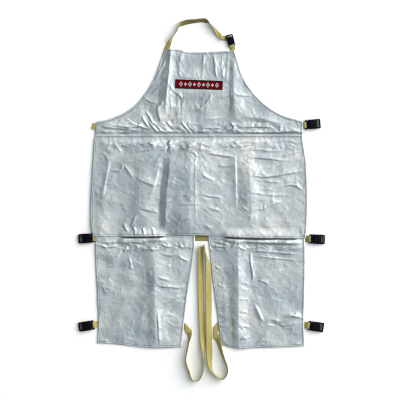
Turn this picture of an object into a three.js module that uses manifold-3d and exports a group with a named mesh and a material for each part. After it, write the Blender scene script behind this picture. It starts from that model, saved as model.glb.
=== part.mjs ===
// Fire-retardant apron of aluminised cloth, lying on its back: a bib, a skirt and two leg panels, with
// yellow webbing straps and black side-release buckles. Millimetres, +Z up, +Y towards the neck, +X to
// the right. The origin is the middle of the waist seam, on the surface that the apron lies on.
import * as THREE from 'three';
import { mergeVertices } from 'three/addons/utils/BufferGeometryUtils.js';
import Module from 'manifold-3d';

const wasm = await Module();
wasm.setup();

// Cloth, as it lies
const half_waist = 334;
const bib_height = 273;
const bib_half_top = 113.5;
const side_height = 47;
const skirt_length = 323;
const leg_length = 346;
const cloth = 1.4;
const seam_lap = 8;
const fold_rise = 12;
const ease = 1.6;

// Webbing and its buckles
const webbing_width = 20;
const neck_webbing_width = 15;
const webbing = 1.2;
const neck_rise = 103;
const sewn = 15;
const hidden_strap = 500;
const buckle_thickness = 9;

// Patch on the chest
const badge_length = 152;
const badge_height = 29;
const badge_thickness = 1.5;
const badge_corner_radius = 3;
const badge_rest_height = 3;

// Clearances: between layers of webbing and cloth, between cloth panels, and inside a buckle
const layer_gap = 0.4;
const panel_gap = 0.5;
const fit = 0.3;

// Heights of the undersides of the layers that lie on each other
const leg_level = webbing + layer_gap;
const lap_level = cloth + layer_gap;
const skirt_level = leg_level + cloth + panel_gap;
const rise_run = 9;

// Outlines. Armholes: up is the share from the side's top to the neck edge, and left and right are the
// shares of the way out from the neck edge's corner to the side.
const armholes = [
  { up: 0, left: 1, right: 1 },
  { up: 0.012, left: 0.93, right: 0.965 },
  { up: 0.035, left: 0.82, right: 0.9 },
  { up: 0.08, left: 0.69, right: 0.735 },
  { up: 0.14, left: 0.56, right: 0.61 },
  { up: 0.22, left: 0.435, right: 0.485 },
  { up: 0.31, left: 0.345, right: 0.38 },
  { up: 0.42, left: 0.254, right: 0.275 },
  { up: 0.55, left: 0.163, right: 0.18 },
  { up: 0.7, left: 0.09, right: 0.107 },
  { up: 0.86, left: 0.036, right: 0.058 },
  { up: 1, left: -0.012, right: 0.006 },
];
const bib_sides = [
  { up: 0, left: -0.995, right: 1 },
  { up: 1, left: -0.976, right: 1.003 },
];
const neck_edge = [
  { across: 0, up: 1.004 },
  { across: 0.09, up: 1.027 },
  { across: 0.235, up: 1.02 },
  { across: 0.33, up: 0.996 },
  { across: 0.51, up: 0.987 },
  { across: 0.65, up: 0.993 },
  { across: 0.9, up: 1.003 },
  { across: 1, up: 1.012 },
];

// Skirt and legs: down is a share of the panel's length, left and right are shares of half_waist.
const skirt_edges = [
  { down: -0.02, left: -0.99, right: 1 },
  { down: 0.054, left: -1.001, right: 1.003 },
  { down: 0.214, left: -1.01, right: 1.03 },
  { down: 0.412, left: -1.021, right: 1.041 },
  { down: 0.61, left: -1.034, right: 1.047 },
  { down: 0.8, left: -1.034, right: 1.043 },
  { down: 0.92, left: -1.027, right: 1.037 },
  { down: 1, left: -1.008, right: 1.028 },
];
const skirt_hem = [
  { across: 0, down: 0.993 },
  { across: 0.33, down: 0.988 },
  { across: 0.48, down: 0.98 },
  { across: 0.57, down: 0.986 },
  { across: 0.72, down: 1.003 },
  { across: 0.88, down: 1.008 },
  { across: 1, down: 1.011 },
];
const leg_edges = {
  left: [
    { down: -0.9, left: -0.965, right: -0.012 },
    { down: 0, left: -0.984, right: -0.0335 },
    { down: 0.1, left: -0.989, right: -0.038 },
    { down: 0.284, left: -0.984, right: -0.062 },
    { down: 0.463, left: -0.973, right: -0.094 },
    { down: 0.643, left: -0.966, right: -0.118 },
    { down: 0.8, left: -0.96, right: -0.138 },
    { down: 1, left: -0.97, right: -0.159 },
  ],
  right: [
    { down: -0.9, left: 0.07, right: 0.985 },
    { down: 0, left: 0.093, right: 1.018 },
    { down: 0.165, left: 0.11, right: 1.024 },
    { down: 0.344, left: 0.129, right: 1.021 },
    { down: 0.523, left: 0.153, right: 1.017 },
    { down: 0.691, left: 0.178, right: 1.012 },
    { down: 0.845, left: 0.196, right: 1.012 },
    { down: 1, left: 0.218, right: 1.018 },
  ],
};
const leg_hems = {
  left: [
    { across: 0, down: 0.977 },
    { across: 0.16, down: 0.984 },
    { across: 0.388, down: 1.001 },
    { across: 0.587, down: 1.019 },
    { across: 0.74, down: 1.021 },
    { across: 1, down: 1.013 },
  ],
  right: [
    { across: 0, down: 0.993 },
    { across: 0.2, down: 1.027 },
    { across: 0.375, down: 1.022 },
    { across: 0.687, down: 1.015 },
    { across: 1, down: 1.004 },
  ],
};

// Folds of each panel. A path runs upwards or to the right, through points that are shares of
// half_waist and of the panel's length. rise is a share of fold_rise, and left and right are the reach
// of the fold's two slopes, as shares of half_waist. The bib lies flat at its seats, where the neck
// strap is sewn under it, and rises at its lifts, over what lies under it.
const bib_folds = [
  { rise: 0.75, left: 0.16, right: 0.1,
    path: [[-0.36, 0.16], [-0.325, 0.35], [-0.3, 0.55], [-0.29, 0.75], [-0.275, 1.02]] },
  { rise: 0.62, left: 0.08, right: 0.16,
    path: [[0.355, 0.12], [0.345, 0.35], [0.34, 0.6], [0.335, 1]] },
  { rise: 0.25, left: 0.05, right: 0.05,
    path: [[-0.175, 0.72], [-0.17, 1.03]] },
  { rise: 0.25, left: 0.05, right: 0.05,
    path: [[0.03, 0.7], [0.05, 1]] },
  { rise: 0.22, left: 0.05, right: 0.05,
    path: [[0.155, 0.75], [0.14, 1]] },
  { rise: 0.3, left: 0.06, right: 0.05,
    path: [[-0.08, 0.3], [0.04, 0.35], [0.1, 0.46], [0.13, 0.53]] },
  { rise: 0.3, left: 0.06, right: 0.05,
    path: [[-0.95, 0.18], [-0.75, 0.16], [-0.55, 0.12]] },
  { rise: 0.28, left: 0.04, right: 0.04,
    path: [[-0.93, 0.055], [-0.7, 0.045], [-0.5, 0.045]] },
  { rise: 0.32, left: 0.04, right: 0.04,
    path: [[-0.47, 0.1], [-0.52, 0.17], [-0.54, 0.24]] },
  { rise: 0.35, left: 0.04, right: 0.04,
    path: [[-0.36, 0.05], [-0.43, 0.12], [-0.5, 0.2]] },
  { rise: 0.3, left: 0.04, right: 0.04,
    path: [[-0.24, 0.06], [-0.27, 0.12], [-0.3, 0.2]] },
  { rise: 0.3, left: 0.04, right: 0.04,
    path: [[-0.08, 0.06], [-0.12, 0.11], [-0.16, 0.18]] },
  { rise: 0.25, left: 0.04, right: 0.05,
    path: [[-0.52, 0.45], [-0.45, 0.42], [-0.38, 0.39]] },
  { rise: 0.35, left: 0.07, right: 0.05,
    path: [[0.4, 0.21], [0.58, 0.22], [0.72, 0.15], [0.9, 0.1]] },
  { rise: 0.35, left: 0.05, right: 0.04,
    path: [[0.4, 0.13], [0.55, 0.135], [0.68, 0.115]] },
  { rise: 0.35, left: 0.05, right: 0.04,
    path: [[0.68, 0.065], [0.82, 0.08], [0.95, 0.075]] },
  { rise: 0.22, left: 0.05, right: 0.05,
    path: [[0.08, 0.19], [0.16, 0.22], [0.26, 0.23]] },
];
const bib_seats = [
  { across: -0.325, up: 0.98, reach: 0.15 },
  { across: 0.325, up: 0.98, reach: 0.15 },
];
const bib_lifts = [
  { across: -0.985, up: 0.125, rise: webbing + layer_gap + 0.6, reach: 0.26 },
  { across: 1.01, up: 0.14, rise: 4, reach: 0.26 },
];
const skirt_folds = [
  { rise: 0.62, left: 0.26, right: 0.13,
    path: [[-0.52, 0.92], [-0.5, 0.5], [-0.46, 0.12]] },
  { rise: 0.42, left: 0.16, right: 0.14,
    path: [[-0.15, 0.88], [-0.12, 0.5], [-0.12, 0.14]] },
  { rise: 0.75, left: 0.12, right: 0.18,
    path: [[0.5, 0.98], [0.51, 0.8], [0.49, 0.55], [0.46, 0.33], [0.4, 0.12]] },
  { rise: 0.35, left: 0.07, right: 0.06,
    path: [[-0.93, 0.82], [-0.91, 0.6], [-0.87, 0.35], [-0.83, 0.13]] },
  { rise: 0.22, left: 0.04, right: 0.04,
    path: [[-0.86, 0.37], [-0.74, 0.36]] },
  { rise: 0.28, left: 0.04, right: 0.05,
    path: [[-0.58, 0.17], [-0.5, 0.15], [-0.42, 0.12]] },
  { rise: 0.3, left: 0.04, right: 0.06,
    path: [[-0.88, 0.07], [-0.6, 0.065], [-0.36, 0.09]] },
  { rise: 0.38, left: 0.04, right: 0.05,
    path: [[0.36, 0.1], [0.5, 0.08], [0.66, 0.08]] },
  { rise: 0.32, left: 0.05, right: 0.04,
    path: [[0.46, 0.17], [0.65, 0.19], [0.8, 0.21], [0.97, 0.13]] },
  { rise: 0.42, left: 0.06, right: 0.05,
    path: [[0.5, 0.33], [0.62, 0.36], [0.8, 0.35], [0.99, 0.31]] },
  { rise: 0.32, left: 0.04, right: 0.05,
    path: [[0.78, 0.49], [0.92, 0.47], [1.01, 0.53]] },
  { rise: 0.26, left: 0.04, right: 0.05,
    path: [[-0.15, 0.16], [-0.08, 0.13], [-0.01, 0.09]] },
  { rise: 0.38, left: 0.05, right: 0.05,
    path: [[0.02, 0.145], [0.16, 0.16], [0.34, 0.2]] },
  { rise: 0.3, left: 0.04, right: 0.04,
    path: [[-0.7, 1], [-0.7, 0.86]] },
  { rise: 0.3, left: 0.04, right: 0.04,
    path: [[-0.54, 1], [-0.54, 0.9]] },
  { rise: 0.42, left: 0.07, right: 0.07,
    path: [[-0.78, 1], [-0.55, 1], [-0.34, 1]] },
  { rise: 0.36, left: 0.07, right: 0.07,
    path: [[0.14, 1], [0.28, 1], [0.42, 1]] },
  { rise: 0.25, left: 0.05, right: 0.04,
    path: [[-0.67, 0.9], [-0.62, 0.8], [-0.58, 0.74]] },
  { rise: 0.26, left: 0.05, right: 0.05,
    path: [[0.54, 0.74], [0.62, 0.73], [0.8, 0.66]] },
];
const skirt_lifts = [{ across: -1.01, up: 0.97, rise: 8, reach: 0.27 }];
const leg_folds = {
  left: [
    { rise: 0.36, left: 0.04, right: 0.04,
      path: [[-0.97, 0.035], [-0.75, 0.03], [-0.55, 0.035], [-0.35, 0.03], [-0.05, 0.035]] },
    { rise: 0.7, left: 0.15, right: 0.11,
      path: [[-0.42, 1.02], [-0.425, 0.5], [-0.42, 0.08]] },
    { rise: 0.32, left: 0.05, right: 0.04,
      path: [[-0.72, 0.17], [-0.7, 0.05]] },
    { rise: 0.3, left: 0.05, right: 0.04,
      path: [[-0.585, 0.13], [-0.59, 0.05]] },
    { rise: 0.3, left: 0.05, right: 0.04,
      path: [[-0.36, 0.16], [-0.24, 0.13], [-0.1, 0.22]] },
    { rise: 0.28, left: 0.04, right: 0.04,
      path: [[-0.4, 0.42], [-0.28, 0.42], [-0.13, 0.44]] },
    { rise: 0.3, left: 0.05, right: 0.05,
      path: [[-0.37, 0.64], [-0.22, 0.56], [-0.13, 0.55]] },
    { rise: 0.24, left: 0.05, right: 0.05,
      path: [[-0.38, 0.8], [-0.17, 0.78]] },
  ],
  right: [
    { rise: 0.28, left: 0.04, right: 0.04,
      path: [[0.12, 0.085], [0.33, 0.09]] },
    { rise: 0.38, left: 0.04, right: 0.05,
      path: [[0.42, 0.07], [0.6, 0.085], [1.02, 0.085]] },
    { rise: 0.72, left: 0.15, right: 0.12,
      path: [[0.39, 1.02], [0.385, 0.75], [0.375, 0.45], [0.36, 0.13]] },
    { rise: 0.26, left: 0.05, right: 0.06,
      path: [[0.515, 0.42], [0.505, 0.25], [0.5, 0.1]] },
    { rise: 0.32, left: 0.05, right: 0.05,
      path: [[0.68, 0.8], [0.6, 0.72], [0.545, 0.6]] },
    { rise: 0.28, left: 0.05, right: 0.05,
      path: [[0.68, 0.82], [0.82, 0.79], [1.02, 0.78]] },
    { rise: 0.22, left: 0.05, right: 0.05,
      path: [[0.72, 0.28], [0.88, 0.32], [1.02, 0.36]] },
    { rise: 0.22, left: 0.05, right: 0.04,
      path: [[0.24, 0.88], [0.19, 0.6]] },
  ],
};
const leg_lifts = {
  left: [{ across: -0.99, up: 0.008, rise: 3.6, reach: 0.24 }],
  right: [],
};

// Straps, seen from above, with the roll of the webbing about its length in degrees. The neck strap's
// points are shares of the neck edge's width and of neck_rise, from the bib's left corner. The leg
// straps' points are shares of half_waist and of leg_length, from the middle of the skirt's hem. A
// strap turns over at a point that says so.
const neck_route = [
  { across: 0.014, up: -0.115, roll: 0 },
  { across: 0.03, up: 0.025, roll: 0 },
  { across: 0.065, up: 0.18, roll: 4 },
  { across: 0.086, up: 0.288, roll: 42 },
  { across: 0.115, up: 0.409, roll: 72 },
  { across: 0.144, up: 0.489, roll: 86 },
  { across: 0.184, up: 0.613, roll: 88 },
  { across: 0.212, up: 0.75, roll: 78 },
  { across: 0.23, up: 0.812, roll: 34 },
  { across: 0.28, up: 0.86, roll: 22 },
  { across: 0.365, up: 0.905, roll: 25 },
  { across: 0.443, up: 0.92, roll: 42 },
  { across: 0.521, up: 0.944, roll: 42 },
  { across: 0.581, up: 0.938, roll: 27 },
  { across: 0.612, up: 0.905, roll: 52 },
  { across: 0.64, up: 0.867, roll: 84 },
  { across: 0.677, up: 0.78, roll: 108 },
  { across: 0.717, up: 0.675, roll: 122 },
  { across: 0.752, up: 0.563, roll: 146 },
  { across: 0.782, up: 0.48, roll: 162 },
  { across: 0.808, up: 0.44, roll: 130 },
  { across: 0.832, up: 0.41, roll: 136 },
  { across: 0.858, up: 0.392, roll: 176 },
  { across: 0.885, up: 0.382, roll: 180 },
  { across: 0.955, up: 0.372, roll: 180 },
];
const leg_routes = {
  left: [
    { across: -0.172, down: 0.819, roll: 0 },
    { across: -0.142, down: 0.822, roll: 0 },
    { across: -0.098, down: 0.828, turns_over: true },
    { across: -0.095, down: 0.87, roll: 6 },
    { across: -0.087, down: 0.89, roll: 34 },
    { across: -0.087, down: 0.925, roll: 60 },
    { across: -0.095, down: 0.965, roll: 75 },
    { across: -0.107, down: 1.037, roll: 80 },
    { across: -0.121, down: 1.113, roll: 82 },
    { across: -0.123, down: 1.15, roll: 78 },
    { across: -0.111, down: 1.199, roll: 73 },
    { across: -0.094, down: 1.242, roll: 73 },
    { across: -0.077, down: 1.294, roll: 76 },
    { across: -0.059, down: 1.321, roll: 78 },
    { across: -0.029, down: 1.326, roll: 80 },
    { across: 0.005, down: 1.32, roll: 84 },
    { across: 0.022, down: 1.302, roll: 84 },
    { across: 0.041, down: 1.256, roll: 86 },
    { across: 0.053, down: 1.185, roll: 84 },
    { across: 0.054, down: 1.13, roll: 80 },
    { across: 0.05, down: 1.074, roll: 70 },
    { across: 0.044, down: 0.981, roll: 38 },
    { across: 0.038, down: 0.88, roll: 26 },
    { across: 0.033, down: 0.755, roll: 30 },
    { across: 0.027, down: 0.574, roll: 22 },
    { across: 0.024, down: 0.389, roll: 30 },
    { across: 0.022, down: 0.222, roll: 35 },
    { across: 0.021, down: 0.081, roll: 44 },
  ],
  right: [
    { across: 0.216, down: 0.786, roll: 0 },
    { across: 0.184, down: 0.825, roll: 0 },
    { across: 0.144, down: 0.878, turns_over: true },
    { across: 0.168, down: 0.918, roll: 6 },
    { across: 0.184, down: 0.948, roll: 40 },
    { across: 0.199, down: 0.99, roll: 52 },
    { across: 0.215, down: 1.046, roll: 60 },
    { across: 0.244, down: 1.125, roll: 70 },
    { across: 0.269, down: 1.185, roll: 76 },
    { across: 0.278, down: 1.231, roll: 82 },
    { across: 0.263, down: 1.282, roll: 84 },
    { across: 0.237, down: 1.307, roll: 84 },
    { across: 0.207, down: 1.305, roll: 84 },
    { across: 0.172, down: 1.28, roll: 84 },
    { across: 0.139, down: 1.25, roll: 80 },
    { across: 0.119, down: 1.212, roll: 62 },
    { across: 0.109, down: 1.156, roll: 44 },
    { across: 0.106, down: 1.083, roll: 24 },
    { across: 0.104, down: 0.963, roll: 24 },
    { across: 0.1, down: 0.796, roll: 30 },
    { across: 0.099, down: 0.574, roll: 20 },
    { across: 0.095, down: 0.389, roll: 24 },
    { across: 0.094, down: 0.259, roll: 46 },
    { across: 0.085, down: 0.208, roll: 70 },
    { across: 0.074, down: 0.157, roll: 82 },
    { across: 0.063, down: 0.111, roll: 84 },
    { across: 0.058, down: 0.063, roll: 78 },
  ],
};

// A buckle's sizes, as shares of the width of its webbing. x runs from its bar, past the joint between
// its halves at 0, to the far end of the female half.
const buckle = {
  length: 1.935,
  half: 0.78,
  base: 0.615,
  notch: 0.1,
  base_slot_end: 0.26,
  bar: 0.185,
  bar_half_thickness: 0.075,
  base_half_thickness: 0.13,
  insert_half: 0.61,
  insert_half_thickness: 0.115,
  insert_solid: 0.175,
  arm: 0.19,
  arm_end: 1.22,
  catch_half: 0.74,
  catch_root: 0.79,
  catch_start: 0.88,
  catch_end: 1.1,
  guide_half: 0.13,
  guide_end: 0.95,
  window_start: 0.75,
  cavity_end: 1.29,
  tail_slot_start: 1.4,
  tail_slot_end: 1.685,
  slot_half: 0.52,
  tail_share: 0.46,
};
const female_outline = [
  { along: 0, out: 0.9 },
  { along: 0.03, out: 1 },
  { along: 0.09, out: 1 },
  { along: 0.13, out: 0.93 },
  { along: 0.4, out: 0.97 },
  { along: 0.9, out: 0.95 },
  { along: 0.97, out: 0.9 },
  { along: 1, out: 0.8 },
];
const male_outline = [
  { along: -1, out: 0.75 },
  { along: -0.85, out: 0.88 },
  { along: -0.5, out: 0.98 },
  { along: -0.28, out: 0.94 },
  { along: -0.16, out: 0.79 },
];

// A smooth curve through one column of a table, read at a place along it.
function read(table, place, column, at) {
  const last = table.length - 1;
  let i = 0;
  while (i < last - 1 && table[i + 1][place] < at) i += 1;
  const slope = (k) => {
    const before = table[Math.max(k - 1, 0)];
    const after = table[Math.min(k + 1, last)];
    return (after[column] - before[column]) / (after[place] - before[place]);
  };
  const span = table[i + 1][place] - table[i][place];
  const s = THREE.MathUtils.clamp((at - table[i][place]) / span, 0, 1);
  const rest = 1 - s;
  return (1 + 2 * s) * rest * rest * table[i][column] + s * rest * rest * span * slope(i)
    + s * s * (3 - 2 * s) * table[i + 1][column] - s * s * rest * span * slope(i + 1);
}

function bell(distance, reach) {
  return THREE.MathUtils.smoothstep(reach - distance, 0, reach);
}

// Height that one fold gives to a point of its panel.
function fold_height(fold, x, y, length) {
  const place = ([across, along]) => new THREE.Vector2(across * half_waist, along * length);
  const points = fold.path.map(place);
  const total = points.slice(1).reduce((sum, point, i) => sum + point.distanceTo(points[i]), 0);
  let nearest = { distance: Infinity };
  let walked = 0;
  for (let i = 1; i < points.length; i += 1) {
    const run = points[i].clone().sub(points[i - 1]);
    const to = new THREE.Vector2(x, y).sub(points[i - 1]);
    const s = THREE.MathUtils.clamp(to.dot(run) / run.lengthSq(), 0, 1);
    const distance = to.distanceTo(run.clone().multiplyScalar(s));
    if (distance < nearest.distance) {
      nearest = { distance, on_left: run.cross(to) > 0, at: (walked + s * run.length()) / total };
    }
    walked += run.length();
  }
  const reach = (nearest.on_left ? fold.left : fold.right) * half_waist;
  const tail = 0.25;
  const ends = bell(Math.max(tail - nearest.at, nearest.at - (1 - tail), 0), 2 * tail);
  return fold.rise * fold_rise * ends * bell(nearest.distance, reach);
}

function fold_sum(folds, x, y, length) {
  return folds.reduce((sum, fold) => sum + fold_height(fold, x, y, length), 0);
}

// How near a point is to a place: 1 up to 0.4 of its reach, and falling to 0.
function nearness(place, x, y, length) {
  const distance = Math.hypot(x - place.across * half_waist, y - place.up * length);
  const reach = place.reach * half_waist;
  return bell(Math.max(distance - 0.4 * reach, 0), 0.6 * reach);
}

// Height that straps and buckles under a panel give to it
function lift_sum(lifts, x, y, length) {
  return lifts.reduce((sum, lift) => sum + lift.rise * nearness(lift, x, y, length), 0);
}

// Closed body with its faces pointing out, from points and faces.
function body(points, faces) {
  const signed = ([a, b, c]) => points[a].dot(points[b].clone().cross(points[c]));
  const volume = faces.reduce((sum, face) => sum + signed(face), 0);
  const ordered = volume < 0 ? faces.map(([a, b, c]) => [a, c, b]) : faces;
  const numbers = points.flatMap((point) => point.toArray());
  const geometry = new THREE.BufferGeometry();
  geometry.setAttribute('position', new THREE.Float32BufferAttribute(numbers, 3));
  geometry.setIndex(ordered.flat());
  return geometry;
}

// Cloth wall over a grid of points of its underside.
function wall(grid, thickness) {
  const rows = grid.length;
  const columns = grid[0].length;
  const under = grid.flat();
  const over = under.map((point) => point.clone().add(new THREE.Vector3(0, 0, thickness)));
  const at = (row, column, top) => row * columns + column + (top ? under.length : 0);
  const faces = [];
  const quad = (a, b, c, d) => faces.push([a, b, c], [a, c, d]);
  for (let row = 0; row < rows - 1; row += 1) {
    for (let column = 0; column < columns - 1; column += 1) {
      const corners = [[row, column], [row, column + 1], [row + 1, column + 1], [row + 1, column]];
      quad(...corners.map((corner) => at(...corner, true)));
      const [a, b, c, d] = corners.map((corner) => at(...corner, false));
      quad(c, b, a, d);
    }
  }
  const rim = [];
  for (let column = 0; column < columns - 1; column += 1) rim.push([0, column]);
  for (let row = 0; row < rows - 1; row += 1) rim.push([row, columns - 1]);
  for (let column = columns - 1; column > 0; column -= 1) rim.push([rows - 1, column]);
  for (let row = rows - 1; row > 0; row -= 1) rim.push([row, 0]);
  rim.forEach((here, i) => {
    const next = rim[(i + 1) % rim.length];
    quad(at(...here, false), at(...next, false), at(...next, true), at(...here, true));
  });
  return body([...under, ...over], faces);
}

function steps(count) {
  return Array.from({ length: count + 1 }, (_, i) => i / count);
}

// Bib: rows of points from the waist seam to the neck edge, and its height over the surface.
const badge_place = { across: 0.004, up: 0.607, tilt: -2 };

function badge_share(x, y) {
  const out_x = Math.abs(x - badge_place.across * half_waist) - badge_length / 2;
  const out_y = Math.abs(y - badge_place.up * bib_height) - badge_height / 2;
  const margin = 20;
  return bell(Math.max(Math.hypot(Math.max(out_x, 0), Math.max(out_y, 0)) - margin, 0), 2 * margin);
}

function bib_under(x, y, across) {
  const past_seam = y - seam_lap;
  const level = leg_level * THREE.MathUtils.smoothstep(past_seam, 0, rise_run);
  const swell = ease * Math.sin(Math.PI * across);
  const folds = (swell + fold_sum(bib_folds, x, y, bib_height))
    * THREE.MathUtils.smoothstep(past_seam, 0, 2 * rise_run);
  const flat = badge_share(x, y);
  const seated = Math.max(...bib_seats.map((seat) => nearness(seat, x, y, bib_height)));
  return level + folds * (1 - flat) * (1 - seated) + badge_rest_height * flat
    + lift_sum(bib_lifts, x, y, bib_height) * THREE.MathUtils.smoothstep(past_seam, 0, rise_run);
}

function bib_grid() {
  const columns = steps(30);
  const side_rows = [-seam_lap, seam_lap, seam_lap + rise_run, (seam_lap + rise_run + side_height) / 2];
  const corner = { left: bib_sides[1].left * half_waist, right: bib_sides[1].right * half_waist };
  const armhole = (side) => new THREE.SplineCurve(armholes.map((row) => new THREE.Vector2(
    Math.sign(corner[side]) * THREE.MathUtils.lerp(bib_half_top, Math.abs(corner[side]), row[side]),
    THREE.MathUtils.lerp(side_height, bib_height, row.up),
  )));
  const sides = { left: armhole('left'), right: armhole('right') };
  const rows = side_rows.map((y) => {
    const up = y / side_height;
    return [new THREE.Vector2(read(bib_sides, 'up', 'left', up) * half_waist, y),
      new THREE.Vector2(read(bib_sides, 'up', 'right', up) * half_waist, y)];
  });
  for (const at of steps(18)) rows.push([sides.left.getPointAt(at), sides.right.getPointAt(at)]);
  return rows.map(([left, right]) => columns.map((across) => {
    const point = left.clone().lerp(right, across);
    const near_neck = THREE.MathUtils.smoothstep(point.y, 0.75 * bib_height, bib_height);
    point.y += (read(neck_edge, 'across', 'up', across) - 1) * bib_height * near_neck;
    return new THREE.Vector3(point.x, point.y, bib_under(point.x, point.y, across));
  }));
}

// Skirt and legs: rows of points downwards, at shares of the panel's length.
function hanging_grid(panel) {
  return panel.rows.map((down) => panel.columns.map((across) => {
    const left = read(panel.edges, 'down', 'left', down) * half_waist;
    const right = read(panel.edges, 'down', 'right', down) * half_waist;
    const x = THREE.MathUtils.lerp(left, right, across);
    const near_hem = THREE.MathUtils.smoothstep(down, 0.75, 1);
    const at = down + (read(panel.hem, 'across', 'down', across) - 1) * near_hem;
    return new THREE.Vector3(x, panel.top - at * panel.length, panel.under(x, at, across));
  }));
}

const skirt = {
  top: 0,
  length: skirt_length,
  edges: skirt_edges,
  hem: skirt_hem,
  columns: steps(36),
  rows: [-0.75 * seam_lap, seam_lap, 2 * seam_lap].map((y) => y / skirt_length)
    .concat([0.075, 0.105, 0.14, 0.175, 0.22, 0.28, 0.33, 0.38, 0.45, 0.52, 0.6, 0.68, 0.76])
    .concat([0.84, 0.91, 0.96, 1]),
  under(x, down, across) {
    const below = down * skirt_length - seam_lap;
    const past_lap = THREE.MathUtils.smoothstep(below, 0, seam_lap);
    const level = THREE.MathUtils.lerp(lap_level, skirt_level, past_lap);
    const swell = ease * Math.sin(Math.PI * across);
    const folds = (swell + fold_sum(skirt_folds, x, down * skirt_length, skirt_length))
      * THREE.MathUtils.smoothstep(below, 0, 2 * seam_lap);
    return level + folds + lift_sum(skirt_lifts, x, down * skirt_length, skirt_length);
  },
};

function leg(side) {
  const hem_cover = 0.018;
  return {
    top: -skirt_length,
    length: leg_length,
    edges: leg_edges[side],
    hem: leg_hems[side],
    columns: steps(14),
    rows: [(3 * seam_lap - skirt_length) / leg_length]
      .concat([-0.28, -0.19, -0.11, -0.045, hem_cover, 0.035, 0.055, 0.08, 0.11, 0.15, 0.2])
      .concat([0.26, 0.33, 0.41, 0.5, 0.59, 0.68, 0.77, 0.86, 0.94, 1]),
    under(x, down, across) {
      const swell = ease * Math.sin(Math.PI * across);
      const folds = (swell + fold_sum(leg_folds[side], x, down * leg_length, leg_length))
        * THREE.MathUtils.smoothstep(down, hem_cover, 2 * hem_cover);
      return leg_level + folds + lift_sum(leg_lifts[side], x, down * leg_length, leg_length);
    },
  };
}

// Solids for joining and cutting
function closed(geometry) {
  const plain = geometry.clone();
  plain.deleteAttribute('normal');
  plain.deleteAttribute('uv');
  return mergeVertices(plain, 1e-3);
}

function solid_of(geometry) {
  const merged = closed(geometry);
  return new wasm.Manifold(new wasm.Mesh({
    numProp: 3,
    vertProperties: new Float32Array(merged.attributes.position.array),
    triVerts: new Uint32Array(merged.index.array),
  }));
}

function geometry_of(solid) {
  const mesh = solid.getMesh();
  const geometry = new THREE.BufferGeometry();
  geometry.setAttribute('position', new THREE.BufferAttribute(new Float32Array(mesh.vertProperties), 3));
  geometry.setIndex(new THREE.BufferAttribute(new Uint32Array(mesh.triVerts), 1));
  return geometry;
}

function block(low, high) {
  const size = high.map((value, i) => value - low[i]);
  const middle = high.map((value, i) => (value + low[i]) / 2);
  return solid_of(new THREE.BoxGeometry(...size).translate(...middle));
}

function plate(points, half_thickness) {
  const shape = new THREE.Shape(points.map(([x, y]) => new THREE.Vector2(x, y)));
  const geometry = new THREE.ExtrudeGeometry(shape, { depth: 2 * half_thickness, bevelEnabled: false });
  return solid_of(geometry.translate(0, 0, -half_thickness));
}

function mirrored(rows, length, half) {
  const near = rows.map((row) => [row.along * length, -row.out * half]);
  return near.concat(near.map(([x, y]) => [x, -y]).reverse());
}

// Female half: a shell that tapers to a tail with a slot for webbing, with a window in each side.
function female_half(width) {
  const size = (share) => share * width;
  const half_thickness = (buckle_thickness / 2) * (width / webbing_width);
  const length = size(buckle.length);
  const outline = plate(mirrored(female_outline, length, size(buckle.half)), half_thickness);
  const tail = half_thickness * buckle.tail_share;
  const profile = [[0, -0.85], [0.05, -1], [0.62, -1]].map(([x, z]) => [x * length, z * half_thickness])
    .concat([[0.78 * length, -tail], [length, -0.85 * tail]]);
  const side = new THREE.Shape(profile.concat(profile.map(([x, z]) => [x, -z]).reverse())
    .map(([x, z]) => new THREE.Vector2(x, z)));
  const reach = 2 * size(buckle.half);
  const side_geometry = new THREE.ExtrudeGeometry(side, { depth: 2 * reach, bevelEnabled: false });
  const tapered = outline.intersect(solid_of(side_geometry.translate(0, 0, -reach).rotateX(Math.PI / 2)));
  const room = size(buckle.insert_half_thickness) + fit;
  const room_half = size(buckle.insert_half) + fit;
  const room_end = size(buckle.cavity_end);
  const slot = size(buckle.slot_half);
  const slot_end = size(buckle.tail_slot_end);
  return tapered
    .subtract(block([-width, -room_half, -room], [room_end, room_half, room]))
    .subtract(block([size(buckle.window_start), -width, -room], [room_end, width, room]))
    .subtract(block([size(buckle.tail_slot_start), -slot, -width], [slot_end, slot, width]));
}

// Male half: a base with shoulders and a bar, a guide, and two arms that catch in the windows.
function male_half(width) {
  const size = (share) => share * width;
  const base_x = size(buckle.base);
  const bar_x = -base_x + size(buckle.bar);
  const slot = size(buckle.slot_half);
  const base_z = size(buckle.base_half_thickness);
  const bar_z = size(buckle.bar_half_thickness);
  const insert = size(buckle.insert_half);
  const inner = insert - size(buckle.arm);
  const arm_end = size(buckle.arm_end);
  const solid_end = size(buckle.insert_solid);
  const bulge = size(buckle.catch_half);
  const root = -size(buckle.notch);
  const base = plate(mirrored(male_outline, base_x, size(buckle.half)), base_z)
    .subtract(block([bar_x, -slot, -width], [-size(buckle.base_slot_end), slot, width]))
    .subtract(block([-width, -slot, bar_z], [bar_x, slot, width]))
    .subtract(block([-width, -slot, -width], [bar_x, slot, -bar_z]));
  const arm = [[root, inner], [arm_end, inner], [arm_end, insert], [size(buckle.catch_end), bulge]]
    .concat([[size(buckle.catch_start), bulge], [size(buckle.catch_root), insert], [root, insert]]);
  const insert_z = size(buckle.insert_half_thickness);
  const guide = size(buckle.guide_half);
  return base
    .add(block([root - fit, -insert, -insert_z], [solid_end, insert, insert_z]))
    .add(block([0, -guide, -insert_z], [size(buckle.guide_end), guide, insert_z]))
    .add(plate(arm, insert_z))
    .add(plate(arm.map(([x, y]) => [x, -y]).reverse(), insert_z));
}

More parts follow.
